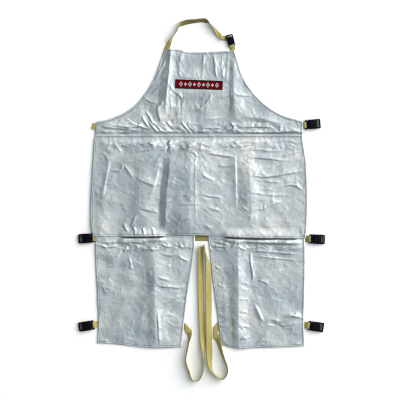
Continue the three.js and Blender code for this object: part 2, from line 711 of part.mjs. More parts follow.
// Webbing that comes from the surface, goes round the bar of a male half and is sewn to itself. It runs
// along x with the buckle, from a given length under the cloth.
function bar_loop(width, rest, tail) {
  const size = (share) => share * width;
  const middle = rest + (buckle_thickness / 2) * (width / webbing_width);
  const inner = size(buckle.bar_half_thickness) + fit;
  const outer = inner + webbing;
  const bar_start = -size(buckle.base);
  const round_end = bar_start + size(buckle.bar) + fit;
  const down = bar_start - size(0.08) - (middle + outer - webbing);
  const bend = round_end + 0.6 * webbing;
  const crown = round_end + webbing;
  const start = bar_start - fit;
  const outline = [[-tail, 0], [down - webbing, 0], [bar_start, middle - outer], [bend, middle - outer]]
    .concat([[crown, middle - inner], [crown, middle + inner], [bend, middle + outer]])
    .concat([[start, middle + outer], [down, webbing], [-tail, webbing]]);
  const shape = new THREE.Shape(outline.map(([x, z]) => new THREE.Vector2(x, z)));
  const hole = [[start, middle - inner], [round_end, middle - inner], [round_end, middle + inner]]
    .concat([[start, middle + inner], [start - fit, middle]]);
  shape.holes.push(new THREE.Path(hole.map(([x, z]) => new THREE.Vector2(x, z))));
  const geometry = new THREE.ExtrudeGeometry(shape, { depth: width, bevelEnabled: false });
  return geometry.translate(0, 0, -width / 2).rotateX(Math.PI / 2);
}

// Ribbon of webbing through stations, each with its middle, its half width and its direction.
function ribbon(stations) {
  const points = stations.flatMap(({ middle, half, along }) => {
    const out = along.clone().cross(half).setLength(webbing / 2);
    return [[1, 1], [-1, 1], [-1, -1], [1, -1]].map(([a, b]) => middle.clone().addScaledVector(half, a)
      .addScaledVector(out, b));
  });
  const faces = [];
  const last = 4 * (stations.length - 1);
  for (let i = 0; i < last; i += 4) {
    for (let k = 0; k < 4; k += 1) {
      const next = (k + 1) % 4;
      const [a, b, c, d] = [i + k, i + next, i + 4 + next, i + 4 + k];
      faces.push(...(k === 2 ? [[a, d, b], [b, d, c]] : [[a, d, c], [a, c, b]]));
    }
  }
  faces.push([0, 1, 2], [0, 2, 3], [last, last + 2, last + 1], [last, last + 3, last + 2]);
  return body(points, faces);
}

// Stations along a route. The webbing rests on the surface by its lower edge, or at a given layer, and
// where it turns over it comes back on the layer above or below.
function strap(route, width, first_layer, turn_up) {
  const layer_step = webbing + layer_gap;
  const stations = [];
  let layer = first_layer;
  let facing = 1;
  route.forEach((stop, i) => {
    const here = new THREE.Vector3(stop.x, stop.y, 0);
    const before = route[Math.max(i - 1, 0)];
    const after = route[Math.min(i + 1, route.length - 1)];
    const into = new THREE.Vector3(stop.x - before.x, stop.y - before.y, 0).normalize();
    const out = new THREE.Vector3(after.x - stop.x, after.y - stop.y, 0).normalize();
    if (stop.turns_over) {
      const turn = into.clone().sub(out).normalize();
      const line = new THREE.Vector3(-turn.y, turn.x, 0);
      const side = new THREE.Vector3(-into.y, into.x, 0);
      const half = line.multiplyScalar((facing * width) / 2 / line.dot(side));
      const up = turn_up ? 1 : -1;
      const height = webbing / 2 + layer * layer_step;
      const bend = layer_step / 2;
      const crest = here.clone().addScaledVector(turn, bend).setZ(height + up * bend);
      stations.push({ middle: here.clone().setZ(height), half, along: turn });
      stations.push({ middle: crest, half, along: new THREE.Vector3(0, 0, up) });
      const back = turn.clone().negate();
      stations.push({ middle: here.clone().setZ(height + up * layer_step), half, along: back });
      layer += up;
      facing = -facing;
      return;
    }
    const along = into.add(out).normalize();
    const roll = THREE.MathUtils.degToRad(stop.roll);
    const half = new THREE.Vector3(-along.y * Math.cos(roll), along.x * Math.cos(roll), Math.sin(roll))
      .multiplyScalar((facing * width) / 2);
    const standing = Math.abs(half.z) + (webbing / 2) * Math.abs(Math.cos(roll));
    if (stop.lands) layer = 0;
    stations.push({ middle: here.setZ(standing + layer * layer_step), half, along });
  });
  return ribbon(stations);
}

// Materials
const finishes = {
  cloth: { color: 0xc3cbcd, roughness: 0.4, metalness: 0.8 },
  webbing: { color: 0xb9aa5a, roughness: 0.85, metalness: 0 },
  plastic: { color: 0x0c0c12, roughness: 0.45, metalness: 0 },
  badge: { color: 0x82000c, roughness: 0.8, metalness: 0 },
};

const apron = new THREE.Group();

function add(name, geometry, finish, parent = apron) {
  const material = new THREE.MeshStandardMaterial({ ...finishes[finish], flatShading: true });
  const mesh = new THREE.Mesh(closed(geometry), material);
  mesh.name = name;
  parent.add(mesh);
  return mesh;
}

add('bib_panel', wall(bib_grid(), cloth), 'cloth');
add('skirt_panel', wall(hanging_grid(skirt), cloth), 'cloth');
for (const side of ['left', 'right']) add(`leg_${side}`, wall(hanging_grid(leg(side)), cloth), 'cloth');

// Patch: a stiff plate with round corners on the flat of the bib
const badge_x = badge_length / 2 - badge_corner_radius;
const badge_y = badge_height / 2 - badge_corner_radius;
const badge_shape = new THREE.Shape();
badge_shape.absarc(badge_x, badge_y, badge_corner_radius, 0, Math.PI / 2);
badge_shape.absarc(-badge_x, badge_y, badge_corner_radius, Math.PI / 2, Math.PI);
badge_shape.absarc(-badge_x, -badge_y, badge_corner_radius, Math.PI, 1.5 * Math.PI);
badge_shape.absarc(badge_x, -badge_y, badge_corner_radius, 1.5 * Math.PI, 2 * Math.PI);
const badge = add('badge', new THREE.ExtrudeGeometry(badge_shape, {
  depth: badge_thickness, bevelEnabled: false, curveSegments: 4,
}), 'badge');
badge.position.set(
  badge_place.across * half_waist,
  badge_place.up * bib_height,
  leg_level + badge_rest_height + cloth + fit,
);
badge.rotation.z = THREE.MathUtils.degToRad(badge_place.tilt);

// Buckles, each placed by the joint between its halves: out is its distance beyond the sides of the
// panels, in widths of webbing, and heading is that of its female half, in degrees
const waist_y = 0.81 * side_height;
const hip_y = -skirt_length - 0.2 * webbing_width;
const leg_buckle_y = -skirt_length - 0.818 * leg_length;
const neck_rest = webbing + layer_gap;
const side_buckles = [
  { name: 'waist_buckle', side: 1, out: 0.875, y: waist_y, heading: 5 },
  { name: 'hip_buckle_left', side: -1, out: 0.575, y: hip_y + 0.1 * webbing_width, heading: 183.5 },
  { name: 'hip_buckle_right', side: 1, out: 1.575, y: hip_y - 0.05 * webbing_width, heading: -2.5 },
  { name: 'leg_buckle_left', side: -1, out: 0.55, y: leg_buckle_y + 0.1 * webbing_width, heading: 189 },
  { name: 'leg_buckle_right', side: 1, out: 1.4, y: leg_buckle_y, heading: -8 },
];
const buckles = [
  { name: 'neck_buckle', x: 0.93 * bib_half_top, y: bib_height + 0.236 * neck_rise, heading: 106 },
  ...side_buckles.map((row) => ({ ...row, x: row.side * (half_waist + row.out * webbing_width) })),
];
const frames = {};
for (const { name, x, y, heading } of buckles) {
  const at_neck = name === 'neck_buckle';
  const width = at_neck ? neck_webbing_width : webbing_width;
  const rest = at_neck ? neck_rest : 0;
  const frame = new THREE.Group();
  frame.position.set(x, y, 0);
  frame.rotation.z = THREE.MathUtils.degToRad(heading);
  frame.updateMatrix();
  frames[name] = frame;
  apron.add(frame);
  const female = add(`${name}_female`, geometry_of(female_half(width)), 'plastic', frame);
  const male = add(`${name}_male`, geometry_of(male_half(width)), 'plastic', frame);
  female.position.z = rest + (buckle_thickness / 2) * (width / webbing_width);
  male.position.z = female.position.z;
}

// Short loops, each sewn under the edge that its buckle hangs from. out is the share of its width by
// which it shows beyond that edge.
const short_loops = [
  { name: 'neck_loop', buckle: 'neck_buckle', width: neck_webbing_width, rest: neck_rest, out: 1.5 },
  { name: 'waist_loop', buckle: 'waist_buckle', width: webbing_width, rest: 0, out: 0.875 },
  { name: 'leg_loop_left', buckle: 'leg_buckle_left', width: webbing_width, rest: 0, out: 1.25 },
  { name: 'leg_loop_right', buckle: 'leg_buckle_right', width: webbing_width, rest: 0, out: 1.2 },
];
for (const { name, buckle: held, width, rest, out } of short_loops) {
  add(name, bar_loop(width, rest, out * width + sewn), 'webbing', frames[held]);
}

// Hip strap: one length behind the legs, with a loop round the bar at each end
const hip_tail = 3 * webbing_width;
const hip_ends = ['hip_buckle_left', 'hip_buckle_right'].map((name) => {
  const loop = bar_loop(webbing_width, 0, hip_tail).applyMatrix4(frames[name].matrix);
  const inside = new THREE.Vector3(-hip_tail + sewn, 0, 0).applyMatrix4(frames[name].matrix);
  return { loop: solid_of(loop), stop: { x: inside.x, y: inside.y, roll: 0 } };
});
const hip_middle = solid_of(strap(hip_ends.map((end) => end.stop), webbing_width, 0, true));
add('hip_strap', geometry_of(hip_ends[0].loop.add(hip_ends[1].loop).add(hip_middle)), 'webbing');

// Waist strap: sewn under the bib's left side, turned back on itself, and straight on behind the bib.
// across and up are in widths of webbing.
const strap_start = -half_waist + 0.45 * webbing_width;
const strap_run = 0.6 * side_height;
const waist_points = [
  { across: 0.6, up: -0.175, roll: 0 },
  { across: 0, up: 0.1, roll: 0 },
  { across: -0.725, up: 0.3, turns_over: true },
  { across: 0, up: 0.12, roll: 0 },
  { across: 1.25, up: 0.02, roll: 0 },
  { across: 3, up: 0, roll: 0 },
  { across: hidden_strap / webbing_width, up: 0.4, roll: 0 },
];
const waist_route = waist_points.map((stop) => ({
  ...stop,
  x: strap_start + stop.across * webbing_width,
  y: strap_run + stop.up * webbing_width,
}));
add('waist_strap', strap(waist_route, webbing_width, 1, false), 'webbing');

// Neck strap, from the bib's left corner to the neck buckle
const neck_points = neck_route.map((stop) => ({
  ...stop,
  x: -bib_half_top + 2.5 + stop.across * 2 * bib_half_top,
  y: bib_height + stop.up * neck_rise + 1,
}));
add('neck_strap', strap(neck_points, neck_webbing_width, 0, true), 'webbing');

// Leg straps, from under the legs' inner edges
for (const side of ['left', 'right']) {
  const points = leg_routes[side].map((stop, i) => ({
    ...stop,
    x: stop.across * half_waist,
    y: -skirt_length - stop.down * leg_length,
    lands: i === 4,
  }));
  add(`leg_strap_${side}`, strap(points, webbing_width, 0, true), 'webbing');
}

export default apron;
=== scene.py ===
# A fire-retardant apron of aluminised cloth, laid out on its back on a pale floor. The bib, the skirt and
# the two leg panels carry golden webbing straps with black side-release buckles. Lengths are in metres,
# and the creases and other details of the cloth are worked out in millimetres.
import itertools
import math

import bmesh
import bpy
import numpy as np
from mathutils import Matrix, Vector
from mathutils.bvhtree import BVHTree
from mathutils.geometry import delaunay_2d_cdt
from mathutils.kdtree import KDTree


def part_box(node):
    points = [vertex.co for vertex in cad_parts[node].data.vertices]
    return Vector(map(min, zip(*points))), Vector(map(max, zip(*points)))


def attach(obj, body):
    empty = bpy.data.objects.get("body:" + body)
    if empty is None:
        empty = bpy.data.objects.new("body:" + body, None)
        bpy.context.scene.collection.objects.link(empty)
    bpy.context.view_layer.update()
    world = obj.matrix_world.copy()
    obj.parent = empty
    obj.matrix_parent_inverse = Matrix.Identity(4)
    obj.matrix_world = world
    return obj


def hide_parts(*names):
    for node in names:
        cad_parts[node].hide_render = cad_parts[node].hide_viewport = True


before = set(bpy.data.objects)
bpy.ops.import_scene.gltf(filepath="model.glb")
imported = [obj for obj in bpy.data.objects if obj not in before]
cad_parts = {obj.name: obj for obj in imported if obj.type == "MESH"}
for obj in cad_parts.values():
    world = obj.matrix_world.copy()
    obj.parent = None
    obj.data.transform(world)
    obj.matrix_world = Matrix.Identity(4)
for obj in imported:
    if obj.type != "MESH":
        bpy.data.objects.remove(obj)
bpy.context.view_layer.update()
MM = 0.001

# The floor, the light and the camera. The camera looks straight down through a long lens, from high
# above the middle of what it shows. The room is bright overhead and to the right, and dark low down
# opposite, apart from a pale far wall.
view_width = 1.28
view_middle = (0.0048, -0.2032)
camera_height = 9.0

camera_data = bpy.data.cameras.new("camera")
camera_data.sensor_width = 36
camera_data.lens = camera_data.sensor_width * camera_height / view_width
camera_data.clip_end = 100
camera = bpy.data.objects.new("camera", camera_data)
camera.location = (*view_middle, camera_height)
bpy.context.scene.collection.objects.link(camera)
bpy.context.scene.camera = camera
bpy.context.scene.view_settings.view_transform = "Standard"
bpy.context.scene.cycles.filter_width = 1.1


class Wire:
    """A socket in a node tree, with Python's arithmetic on it."""

    def __init__(self, tree, socket=None):
        self.tree = tree
        self.socket = socket

    def node(self, kind, settings=None, values=None, out=0):
        made = self.tree.nodes.new(kind)
        for key, value in (settings or {}).items():
            if key == "stops":
                while len(made.color_ramp.elements) < len(value):
                    made.color_ramp.elements.new(0.5)
                for element, (place, colour) in zip(made.color_ramp.elements, value):
                    element.position = place
                    element.color = (*colour, 1)
            else:
                setattr(made, key, value)
        for key, value in (values or {}).items():
            if isinstance(value, Wire):
                self.tree.links.new(value.socket, made.inputs[key])
            else:
                made.inputs[key].default_value = value
        return Wire(self.tree, made.outputs[out])

    def math(self, operation, *others):
        return self.node("ShaderNodeMath", {"operation": operation}, dict(enumerate((self, *others))))

    def __add__(self, other):
        return self.math("ADD", other)

    def __mul__(self, other):
        return self.math("MULTIPLY", other)

    def __sub__(self, other):
        return self.math("SUBTRACT", other)

    def __rsub__(self, other):
        return self.node("ShaderNodeMath", {"operation": "SUBTRACT"}, {0: other, 1: self})

    __radd__ = __add__
    __rmul__ = __mul__

    def wave(self, length):
        """A sine wave along this distance."""
        return (self * (2 * math.pi / length)).math("SINE")

    def between(self, low, high):
        values = {0: self, 1: low, 2: high, 3: 0.0, 4: 1.0}
        return self.node("ShaderNodeMapRange", {"interpolation_type": "SMOOTHSTEP"}, values)

    def blend(self, first, second):
        first = first if isinstance(first, Wire) else (*first, 1)
        second = second if isinstance(second, Wire) else (*second, 1)
        return self.node("ShaderNodeMix", {"data_type": "RGBA"}, {0: self, 6: first, 7: second}, 2)

    def split(self):
        parts = self.node("ShaderNodeSeparateXYZ", values={0: self}).socket.node
        return [Wire(self.tree, socket) for socket in parts.outputs]

    def noise(self, scale, detail=2.0, rough=0.5):
        values = {"Vector": self, "Scale": scale, "Detail": detail, "Roughness": rough}
        return self.node("ShaderNodeTexNoise", values=values)


# The room's brightness, by how far a direction leans towards the big window at the right: from 0, straight
# away from it, to 1, straight at it.
window_direction = (0.78, 0.42, 0.46)
room_glow = [
    (0.0, (0.17, 0.178, 0.184)),
    (0.26, (0.12, 0.128, 0.133)),
    (0.38, (0.04, 0.046, 0.048)),
    (0.46, (0.017, 0.023, 0.023)),
    (0.6, (0.067, 0.08, 0.085)),
    (0.7, (0.148, 0.163, 0.172)),
    (0.77, (0.188, 0.199, 0.204)),
    (0.84, (0.268, 0.273, 0.27)),
    (0.9, (0.5, 0.495, 0.48)),
    (0.97, (1.0, 0.985, 0.96)),
]
room_strength = 4.0

world = bpy.data.worlds.new("studio")
world.use_nodes = True
bpy.context.scene.world = world
sky = Wire(world.node_tree).node("ShaderNodeTexCoord")
values = {0: sky, 1: Vector(window_direction).normalized()}
lean = sky.node("ShaderNodeVectorMath", {"operation": "DOT_PRODUCT"}, values, out=1)
glow = sky.node("ShaderNodeValToRGB", {"stops": room_glow}, {0: 0.5 * lean + 0.5})
background = world.node_tree.nodes["Background"]
background.inputs[1].default_value = room_strength
world.node_tree.links.new(glow.socket, background.inputs[0])

window_place = (3.2, 1.6, 1.7)
window_aim = (0, -0.2, 0)
lamp = bpy.data.lights.new("window", "AREA")
lamp.shape = "DISK"
lamp.size = 1.2
lamp.energy = 38
window = bpy.data.objects.new("window", lamp)
window.location = window_place
window.rotation_mode = "QUATERNION"
window.rotation_quaternion = (Vector(window_aim) - Vector(window_place)).to_track_quat("-Z", "Y")
bpy.context.scene.collection.objects.link(window)


def socket_name(key):
    return key.replace("_", " ").title().replace("Ior", "IOR")


def new_material(name, **numbers):
    """A material, its place on the object as a wire, and its shader."""
    material = bpy.data.materials.new(name)
    material.use_nodes = True
    shader = material.node_tree.nodes["Principled BSDF"]
    for key, value in numbers.items():
        shader.inputs[socket_name(key)].default_value = value
    place = Wire(material.node_tree).node("ShaderNodeTexCoord", out=3)
    return material, place, shader


def feed(material, shader, **wires):
    for key, wire in wires.items():
        socket = shader.inputs[socket_name(key)]
        material.node_tree.links.new(wire.socket, socket)


def bump(wire, distance, strength=1.0):
    values = {"Height": wire, "Distance": distance, "Strength": strength}
    return wire.node("ShaderNodeBump", values=values)


def make_object(name, points, faces, materials=(), slots=None, smooth=True):
    mesh = bpy.data.meshes.new(name)
    mesh.from_pydata([tuple(p) for p in points], [], [tuple(f) for f in faces])
    for material in materials:
        mesh.materials.append(material)
    if slots is not None:
        mesh.polygons.foreach_set("material_index", slots)
    mesh.polygons.foreach_set("use_smooth", [smooth] * len(mesh.polygons))
    mesh.update()
    made = bpy.data.objects.new(name, mesh)
    bpy.context.scene.collection.objects.link(made)
    return made


def face_outwards(piece):
    made = bmesh.new()
    made.from_mesh(piece.data)
    bmesh.ops.recalc_face_normals(made, faces=made.faces)
    made.to_mesh(piece.data)
    made.free()


floor_half = 30
floor_drop = 0.3 * MM
paper = new_material("floor_paper", base_color=(0.93, 0.93, 0.935, 1), roughness=0.9)[0]
corners = [(x * floor_half, y * floor_half) for x, y in ((-1, -1), (1, -1), (1, 1), (-1, 1))]
floor = make_object("floor", [(x, y, -floor_drop) for x, y in corners], [(0, 1, 2, 3)], [paper])


# The cloth. Its face is bonded aluminium foil on a tight plain weave, silver and half matt, with a fine
# crackle. Its back is the bare golden-tan weave, and the foil is turned over it along every hem.
cloth_thickness = 1.4 * MM
thread_pitch = 0.9 * MM
hem = 7.5 * MM
hem_stitch = 6.0 * MM
stitch_above = 0.25 * MM
stitch_below = 0.1 * MM
hem_rise = 0.25 * MM
groove_depth = 0.3 * MM
groove_half = 0.8 * MM
edge_round = 0.5 * MM

foil, place, shader = new_material("aluminised_face", metallic=0.86, specular_ior_level=0.5)
x, y, z = place.split()
weave = x.wave(thread_pitch) * y.wave(thread_pitch)
cloud = place.noise(9.0, 3.0)
fleck = place.noise(160.0, 3.0, 0.6)
tint = cloud.between(0.35, 0.7)
# Painted shade: the foil is darkened towards the shadowed colour in the stitch groove and along the hem's
# inner edge.
seam = place.node("ShaderNodeAttribute", {"attribute_name": "seam"}, out=2)
# Painted reflection of the golden strap: a brown streak along the right leg's fold.
stain = place.node("ShaderNodeAttribute", {"attribute_name": "stain"}, out=2)
darker_tone = tint.blend((0.5, 0.555, 0.59), (0.63, 0.65, 0.645))
lighter_tone = tint.blend((0.56, 0.605, 0.635), (0.71, 0.725, 0.715))
reflected_gold = (0.42, 0.34, 0.17)
shadowed = (0.17, 0.2, 0.225)
base = stain.blend(fleck.between(0.3, 0.75).blend(darker_tone, lighter_tone), reflected_gold)
feed(foil, shader, base_color=seam.blend(base, shadowed))
feed(foil, shader, roughness=0.2 + 0.12 * cloud + 0.1 * fleck)
crinkle = (place.noise(17.0, 3.0, 0.55) - 0.5).math("ABSOLUTE")
sway = place.node("ShaderNodeTexNoise", values={"Vector": place, "Scale": 14.0, "Detail": 3.0}, out=1)
values = {0: sway, 1: (0.05, 0.05, 0.0), 2: place}
bent = sway.node("ShaderNodeVectorMath", {"operation": "MULTIPLY_ADD"}, values)
wide = bent.node("ShaderNodeTexVoronoi", values={"Vector": bent, "Scale": 24.0})
small = bent.node("ShaderNodeTexVoronoi", values={"Vector": bent, "Scale": 62.0})
grit = place.noise(190.0, 3.0, 0.65)
dents = crinkle * 2.2 + wide * 1.5 + small * 0.5 + grit * 0.3 + weave * 0.02
feed(foil, shader, normal=bump(dents, 1.0 * MM, 0.8))

backing, place, shader = new_material("backing_weave", metallic=0.0, specular_ior_level=0.3)
x, y, z = place.split()
weave = x.wave(thread_pitch) * y.wave(thread_pitch)
shade = place.noise(35.0, 4.0, 0.6)
yarn = (weave * 0.5 + 0.5) * 0.6 + shade * 0.4
tan = yarn.between(0.15, 0.85).blend((0.27, 0.19, 0.07), (0.5, 0.38, 0.17))
feed(backing, shader, base_color=tan)
feed(backing, shader, roughness=0.78 + 0.15 * shade)
feed(backing, shader, normal=bump(weave * 0.5 + shade * 0.5, 0.25 * MM, 0.6))

thread, place, shader = new_material("grey_thread", roughness=0.7)
twist = place.noise(900.0, 2.0)
grey = twist.between(0.2, 0.8).blend((0.035, 0.042, 0.05), (0.11, 0.12, 0.13))
feed(thread, shader, base_color=grey)
feed(thread, shader, normal=bump(twist, 0.15 * MM))


def solid_mesh(name):
    """A CAD solid with its loose triangles joined."""
    made = bmesh.new()
    made.from_mesh(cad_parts[name].data)
    bmesh.ops.remove_doubles(made, verts=made.verts, dist=0.002 * MM)
    bmesh.ops.recalc_face_normals(made, faces=made.faces)
    return made


def smooth_step(low, high, value):
    t = np.clip((value - low) / (high - low), 0, 1)
    return t * t * (3 - 2 * t)


def relief(name, level, share=0.3, pitch=4 * MM, blur=1.6):
    """The height of a solid's upper face, smoothed, as a function of points. Above the level at which
    the cloth lies flat only a share of each fold is kept, because the creases add the rest."""
    made = solid_mesh(name)
    tree = BVHTree.FromBMesh(made)
    made.free()
    low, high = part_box(name)
    xs = np.arange(low.x - 2 * pitch, high.x + 3 * pitch, pitch)
    ys = np.arange(low.y - 2 * pitch, high.y + 3 * pitch, pitch)
    net = np.full((len(ys), len(xs)), np.nan)
    for row, y in enumerate(ys):
        for column, x in enumerate(xs):
            hit = tree.ray_cast(Vector((x, y, 1)), Vector((0, 0, -1)))[0]
            if hit:
                net[row, column] = hit.z
    steps = [(1, 0), (-1, 0), (0, 1), (0, -1)]
    while np.isnan(net).any():
        near = np.stack([np.roll(net, step, (0, 1)) for step in steps])
        known = (~np.isnan(near)).sum(0)
        fill = np.where(known, np.nansum(near, 0) / np.maximum(known, 1), np.nan)
        net = np.where(np.isnan(net), fill, net)
    net = np.minimum(net, level) + share * np.maximum(net - level, 0)
    taps = np.exp(-0.5 * (np.arange(-4, 5) / blur) ** 2)
    taps /= taps.sum()
    for axis in (0, 1):
        padded = np.pad(net, [(4, 4) if a == axis else (0, 0) for a in (0, 1)], mode="edge")
        net = sum(tap * np.take(padded, np.arange(net.shape[axis]) + i, axis) for i, tap in enumerate(taps))

    def height(points):
        across = (points[:, 0] - xs[0]) / pitch
        up = (points[:, 1] - ys[0]) / pitch
        i = np.clip(across.astype(int), 0, len(xs) - 2)
        j = np.clip(up.astype(int), 0, len(ys) - 2)
        fx, fy = across - i, up - j
        lower = net[j, i] * (1 - fx) + net[j, i + 1] * fx
        upper = net[j + 1, i] * (1 - fx) + net[j + 1, i + 1] * fx
        return lower * (1 - fy) + upper * fy

    return height


def outline(name, corners):
    """The edge of a cloth solid, anticlockwise, as one row of points from each corner to the next. A
    corner is the point that lies furthest in a direction."""
    made = solid_mesh(name)
    links = {}
    for edge in made.edges:
        ups = sorted(abs(face.normal.z) for face in edge.link_faces)
        if ups[0] < 0.3 < ups[1] and max(face.normal.z for face in edge.link_faces) > 0.3:
            a, b = edge.verts
            links.setdefault(a.index, []).append(b.index)
            links.setdefault(b.index, []).append(a.index)
    start = next(iter(links))
    loop = [start, links[start][0]]
    while True:
        ahead = [i for i in links[loop[-1]] if i != loop[-2]][0]
        if ahead == start:
            break
        loop.append(ahead)
    made.verts.ensure_lookup_table()
    points = np.array([made.verts[i].co[:2] for i in loop])
    made.free()
    turned = np.roll(points, -1, 0)
    if (points[:, 0] * turned[:, 1] - turned[:, 0] * points[:, 1]).sum() < 0:
        points = points[::-1]
    at = [int(np.argmax(points @ np.array(corner, float))) for corner in corners]
    rows = []
    for first, last in zip(at, at[1:] + at[:1]):
        span = (last - first) % len(points)
        rows.append(points[(first + np.arange(span + 1)) % len(points)])
    return rows


def inset(rows, distance, step):
    """A closed row of even points at a distance inside an outline. Each corner moves to where the
    shifted sides meet."""
    ways = [np.diff(row, axis=0) / np.linalg.norm(np.diff(row, axis=0), axis=1)[:, None] for row in rows]
    turns = []
    for before, after in zip(ways[-1:] + ways[:-1], ways):
        (a, b), (c, d) = before[-1], after[0]
        turns.append(math.tan(math.atan2(a * d - b * c, a * c + b * d) / 2))
    ring = []
    for i, (row, way) in enumerate(zip(rows, ways)):
        walked = np.concatenate([[0], np.cumsum(np.linalg.norm(np.diff(row, axis=0), axis=1))])
        heading = np.concatenate([way[:1], (way[:-1] + way[1:]) / 2, way[-1:]])
        count = int(walked[-1] / step) + 1
        start, stop = distance * turns[i], walked[-1] - distance * turns[(i + 1) % len(rows)]
        places = np.linspace(start, stop, count + 1)[:-1]
        x, y, u, v = (np.interp(places, walked, column) for column in (*row.T, *heading.T))
        beyond = places - np.clip(places, 0, walked[-1])
        u, v = u / np.hypot(u, v), v / np.hypot(u, v)
        ring.append(np.stack([x + beyond * u - distance * v, y + beyond * v + distance * u], 1))
    return np.concatenate(ring)


broad_crease = 100


def crease(points, rise, steep, gentle, path):
    """The height of one crease. It is steep along its path, over a width centred on it, and falls away on
    the left of the path over a gentle width, nearly straight where it is broad."""
    path = np.array(path, float)
    total = np.linalg.norm(np.diff(path, axis=0), axis=1).sum()
    height = np.zeros(len(points))
    reach = steep + gentle
    near = ((points > path.min(0) - reach) & (points < path.max(0) + reach)).all(1)
    some = points[near]
    best, signed, along = np.full(len(some), 1e9), np.zeros(len(some)), np.zeros(len(some))
    walked = 0.0
    for start, end in zip(path[:-1], path[1:]):
        run = end - start
        length = np.linalg.norm(run)
        t = np.clip((some - start) @ run / length**2, 0, 1)
        off = some - start - t[:, None] * run
        distance = np.linalg.norm(off, axis=1)
        side = np.sign(run[0] * off[:, 1] - run[1] * off[:, 0])
        closer = distance < best
        best = np.where(closer, distance, best)
        signed = np.where(closer, side * distance, signed)
        along = np.where(closer, (walked + t * length) / total, along)
        walked += length
    ends = smooth_step(0, 0.3, along) * smooth_step(0, 0.3, 1 - along)
    up = np.clip(signed / steep + 0.5, 0, 1) ** 1.15
    fall = 2 if gentle < broad_crease else 1.2
    down = np.clip(1 - (signed - steep / 2) / gentle, 0, 1) ** fall
    height[near] = rise * up * down * ends
    return height


def crumple(points, area, count, seed, lean, spread=0.7, reach=(7, 28), rise=(0.15, 0.6)):
    """The height of many small creases at random over an area, most of them along one lean."""
    dice = np.random.default_rng(seed)
    low, high = np.array(area, float)
    height = np.zeros(len(points))
    for _ in range(count):
        middle = low + (high - low) * dice.random(2)
        heading = dice.normal(lean, spread) + dice.integers(2) * math.pi
        half = dice.uniform(*reach)
        ahead = np.array([math.cos(heading), math.sin(heading)])
        aside = np.array([-ahead[1], ahead[0]]) * dice.normal(0, 0.16) * half
        path = [middle - half * ahead, middle + aside, middle + half * ahead]
        height += crease(points, dice.uniform(*rise), dice.uniform(2.5, 4.5), dice.uniform(7, 22), path)
    return height


def swell(points, seed, count=14, slope=0.0018):
    """The height of a slow uneven swell."""
    dice = np.random.default_rng(seed)
    height = np.zeros(len(points))
    for _ in range(count):
        heading = dice.random() * 2 * math.pi
        length = dice.uniform(38, 120)
        phase = (points @ np.array([math.cos(heading), math.sin(heading)])) * 2 * math.pi / length
        height += slope * length * np.sin(phase + dice.random() * 7)
    return height


def is_inside(point, loop):
    ahead = np.roll(loop, -1, 0)
    cut = (loop[:, 1] > point[1]) != (ahead[:, 1] > point[1])
    a, b = loop[cut], ahead[cut]
    return (point[0] < a[:, 0] + (point[1] - a[:, 1]) * (b[:, 0] - a[:, 0]) / (b[:, 1] - a[:, 1])).sum() % 2


def filled(loop, spacing):
    """Points in staggered rows inside a closed row of points, clear of it by half a step."""
    ahead = np.roll(loop, -1, 0)
    near = KDTree(len(loop))
    for i, (x, y) in enumerate(loop):
        near.insert((x, y, 0), i)
    near.balance()
    found = []
    for row, y in enumerate(np.arange(loop[:, 1].min(), loop[:, 1].max(), spacing * math.sqrt(0.75))):
        cut = (loop[:, 1] > y) != (ahead[:, 1] > y)
        a, b = loop[cut], ahead[cut]
        crossings = np.sort(a[:, 0] + (y - a[:, 1]) * (b[:, 0] - a[:, 0]) / (b[:, 1] - a[:, 1]))
        for left, right in crossings.reshape(-1, 2):
            shift = row % 2 / 2
            steps = np.arange(math.ceil(left / spacing - shift), math.floor(right / spacing - shift) + 1)
            found += [(x, y) for x in (steps + shift) * spacing if near.find((x, y, 0))[2] > spacing / 2]
    return np.array(found)


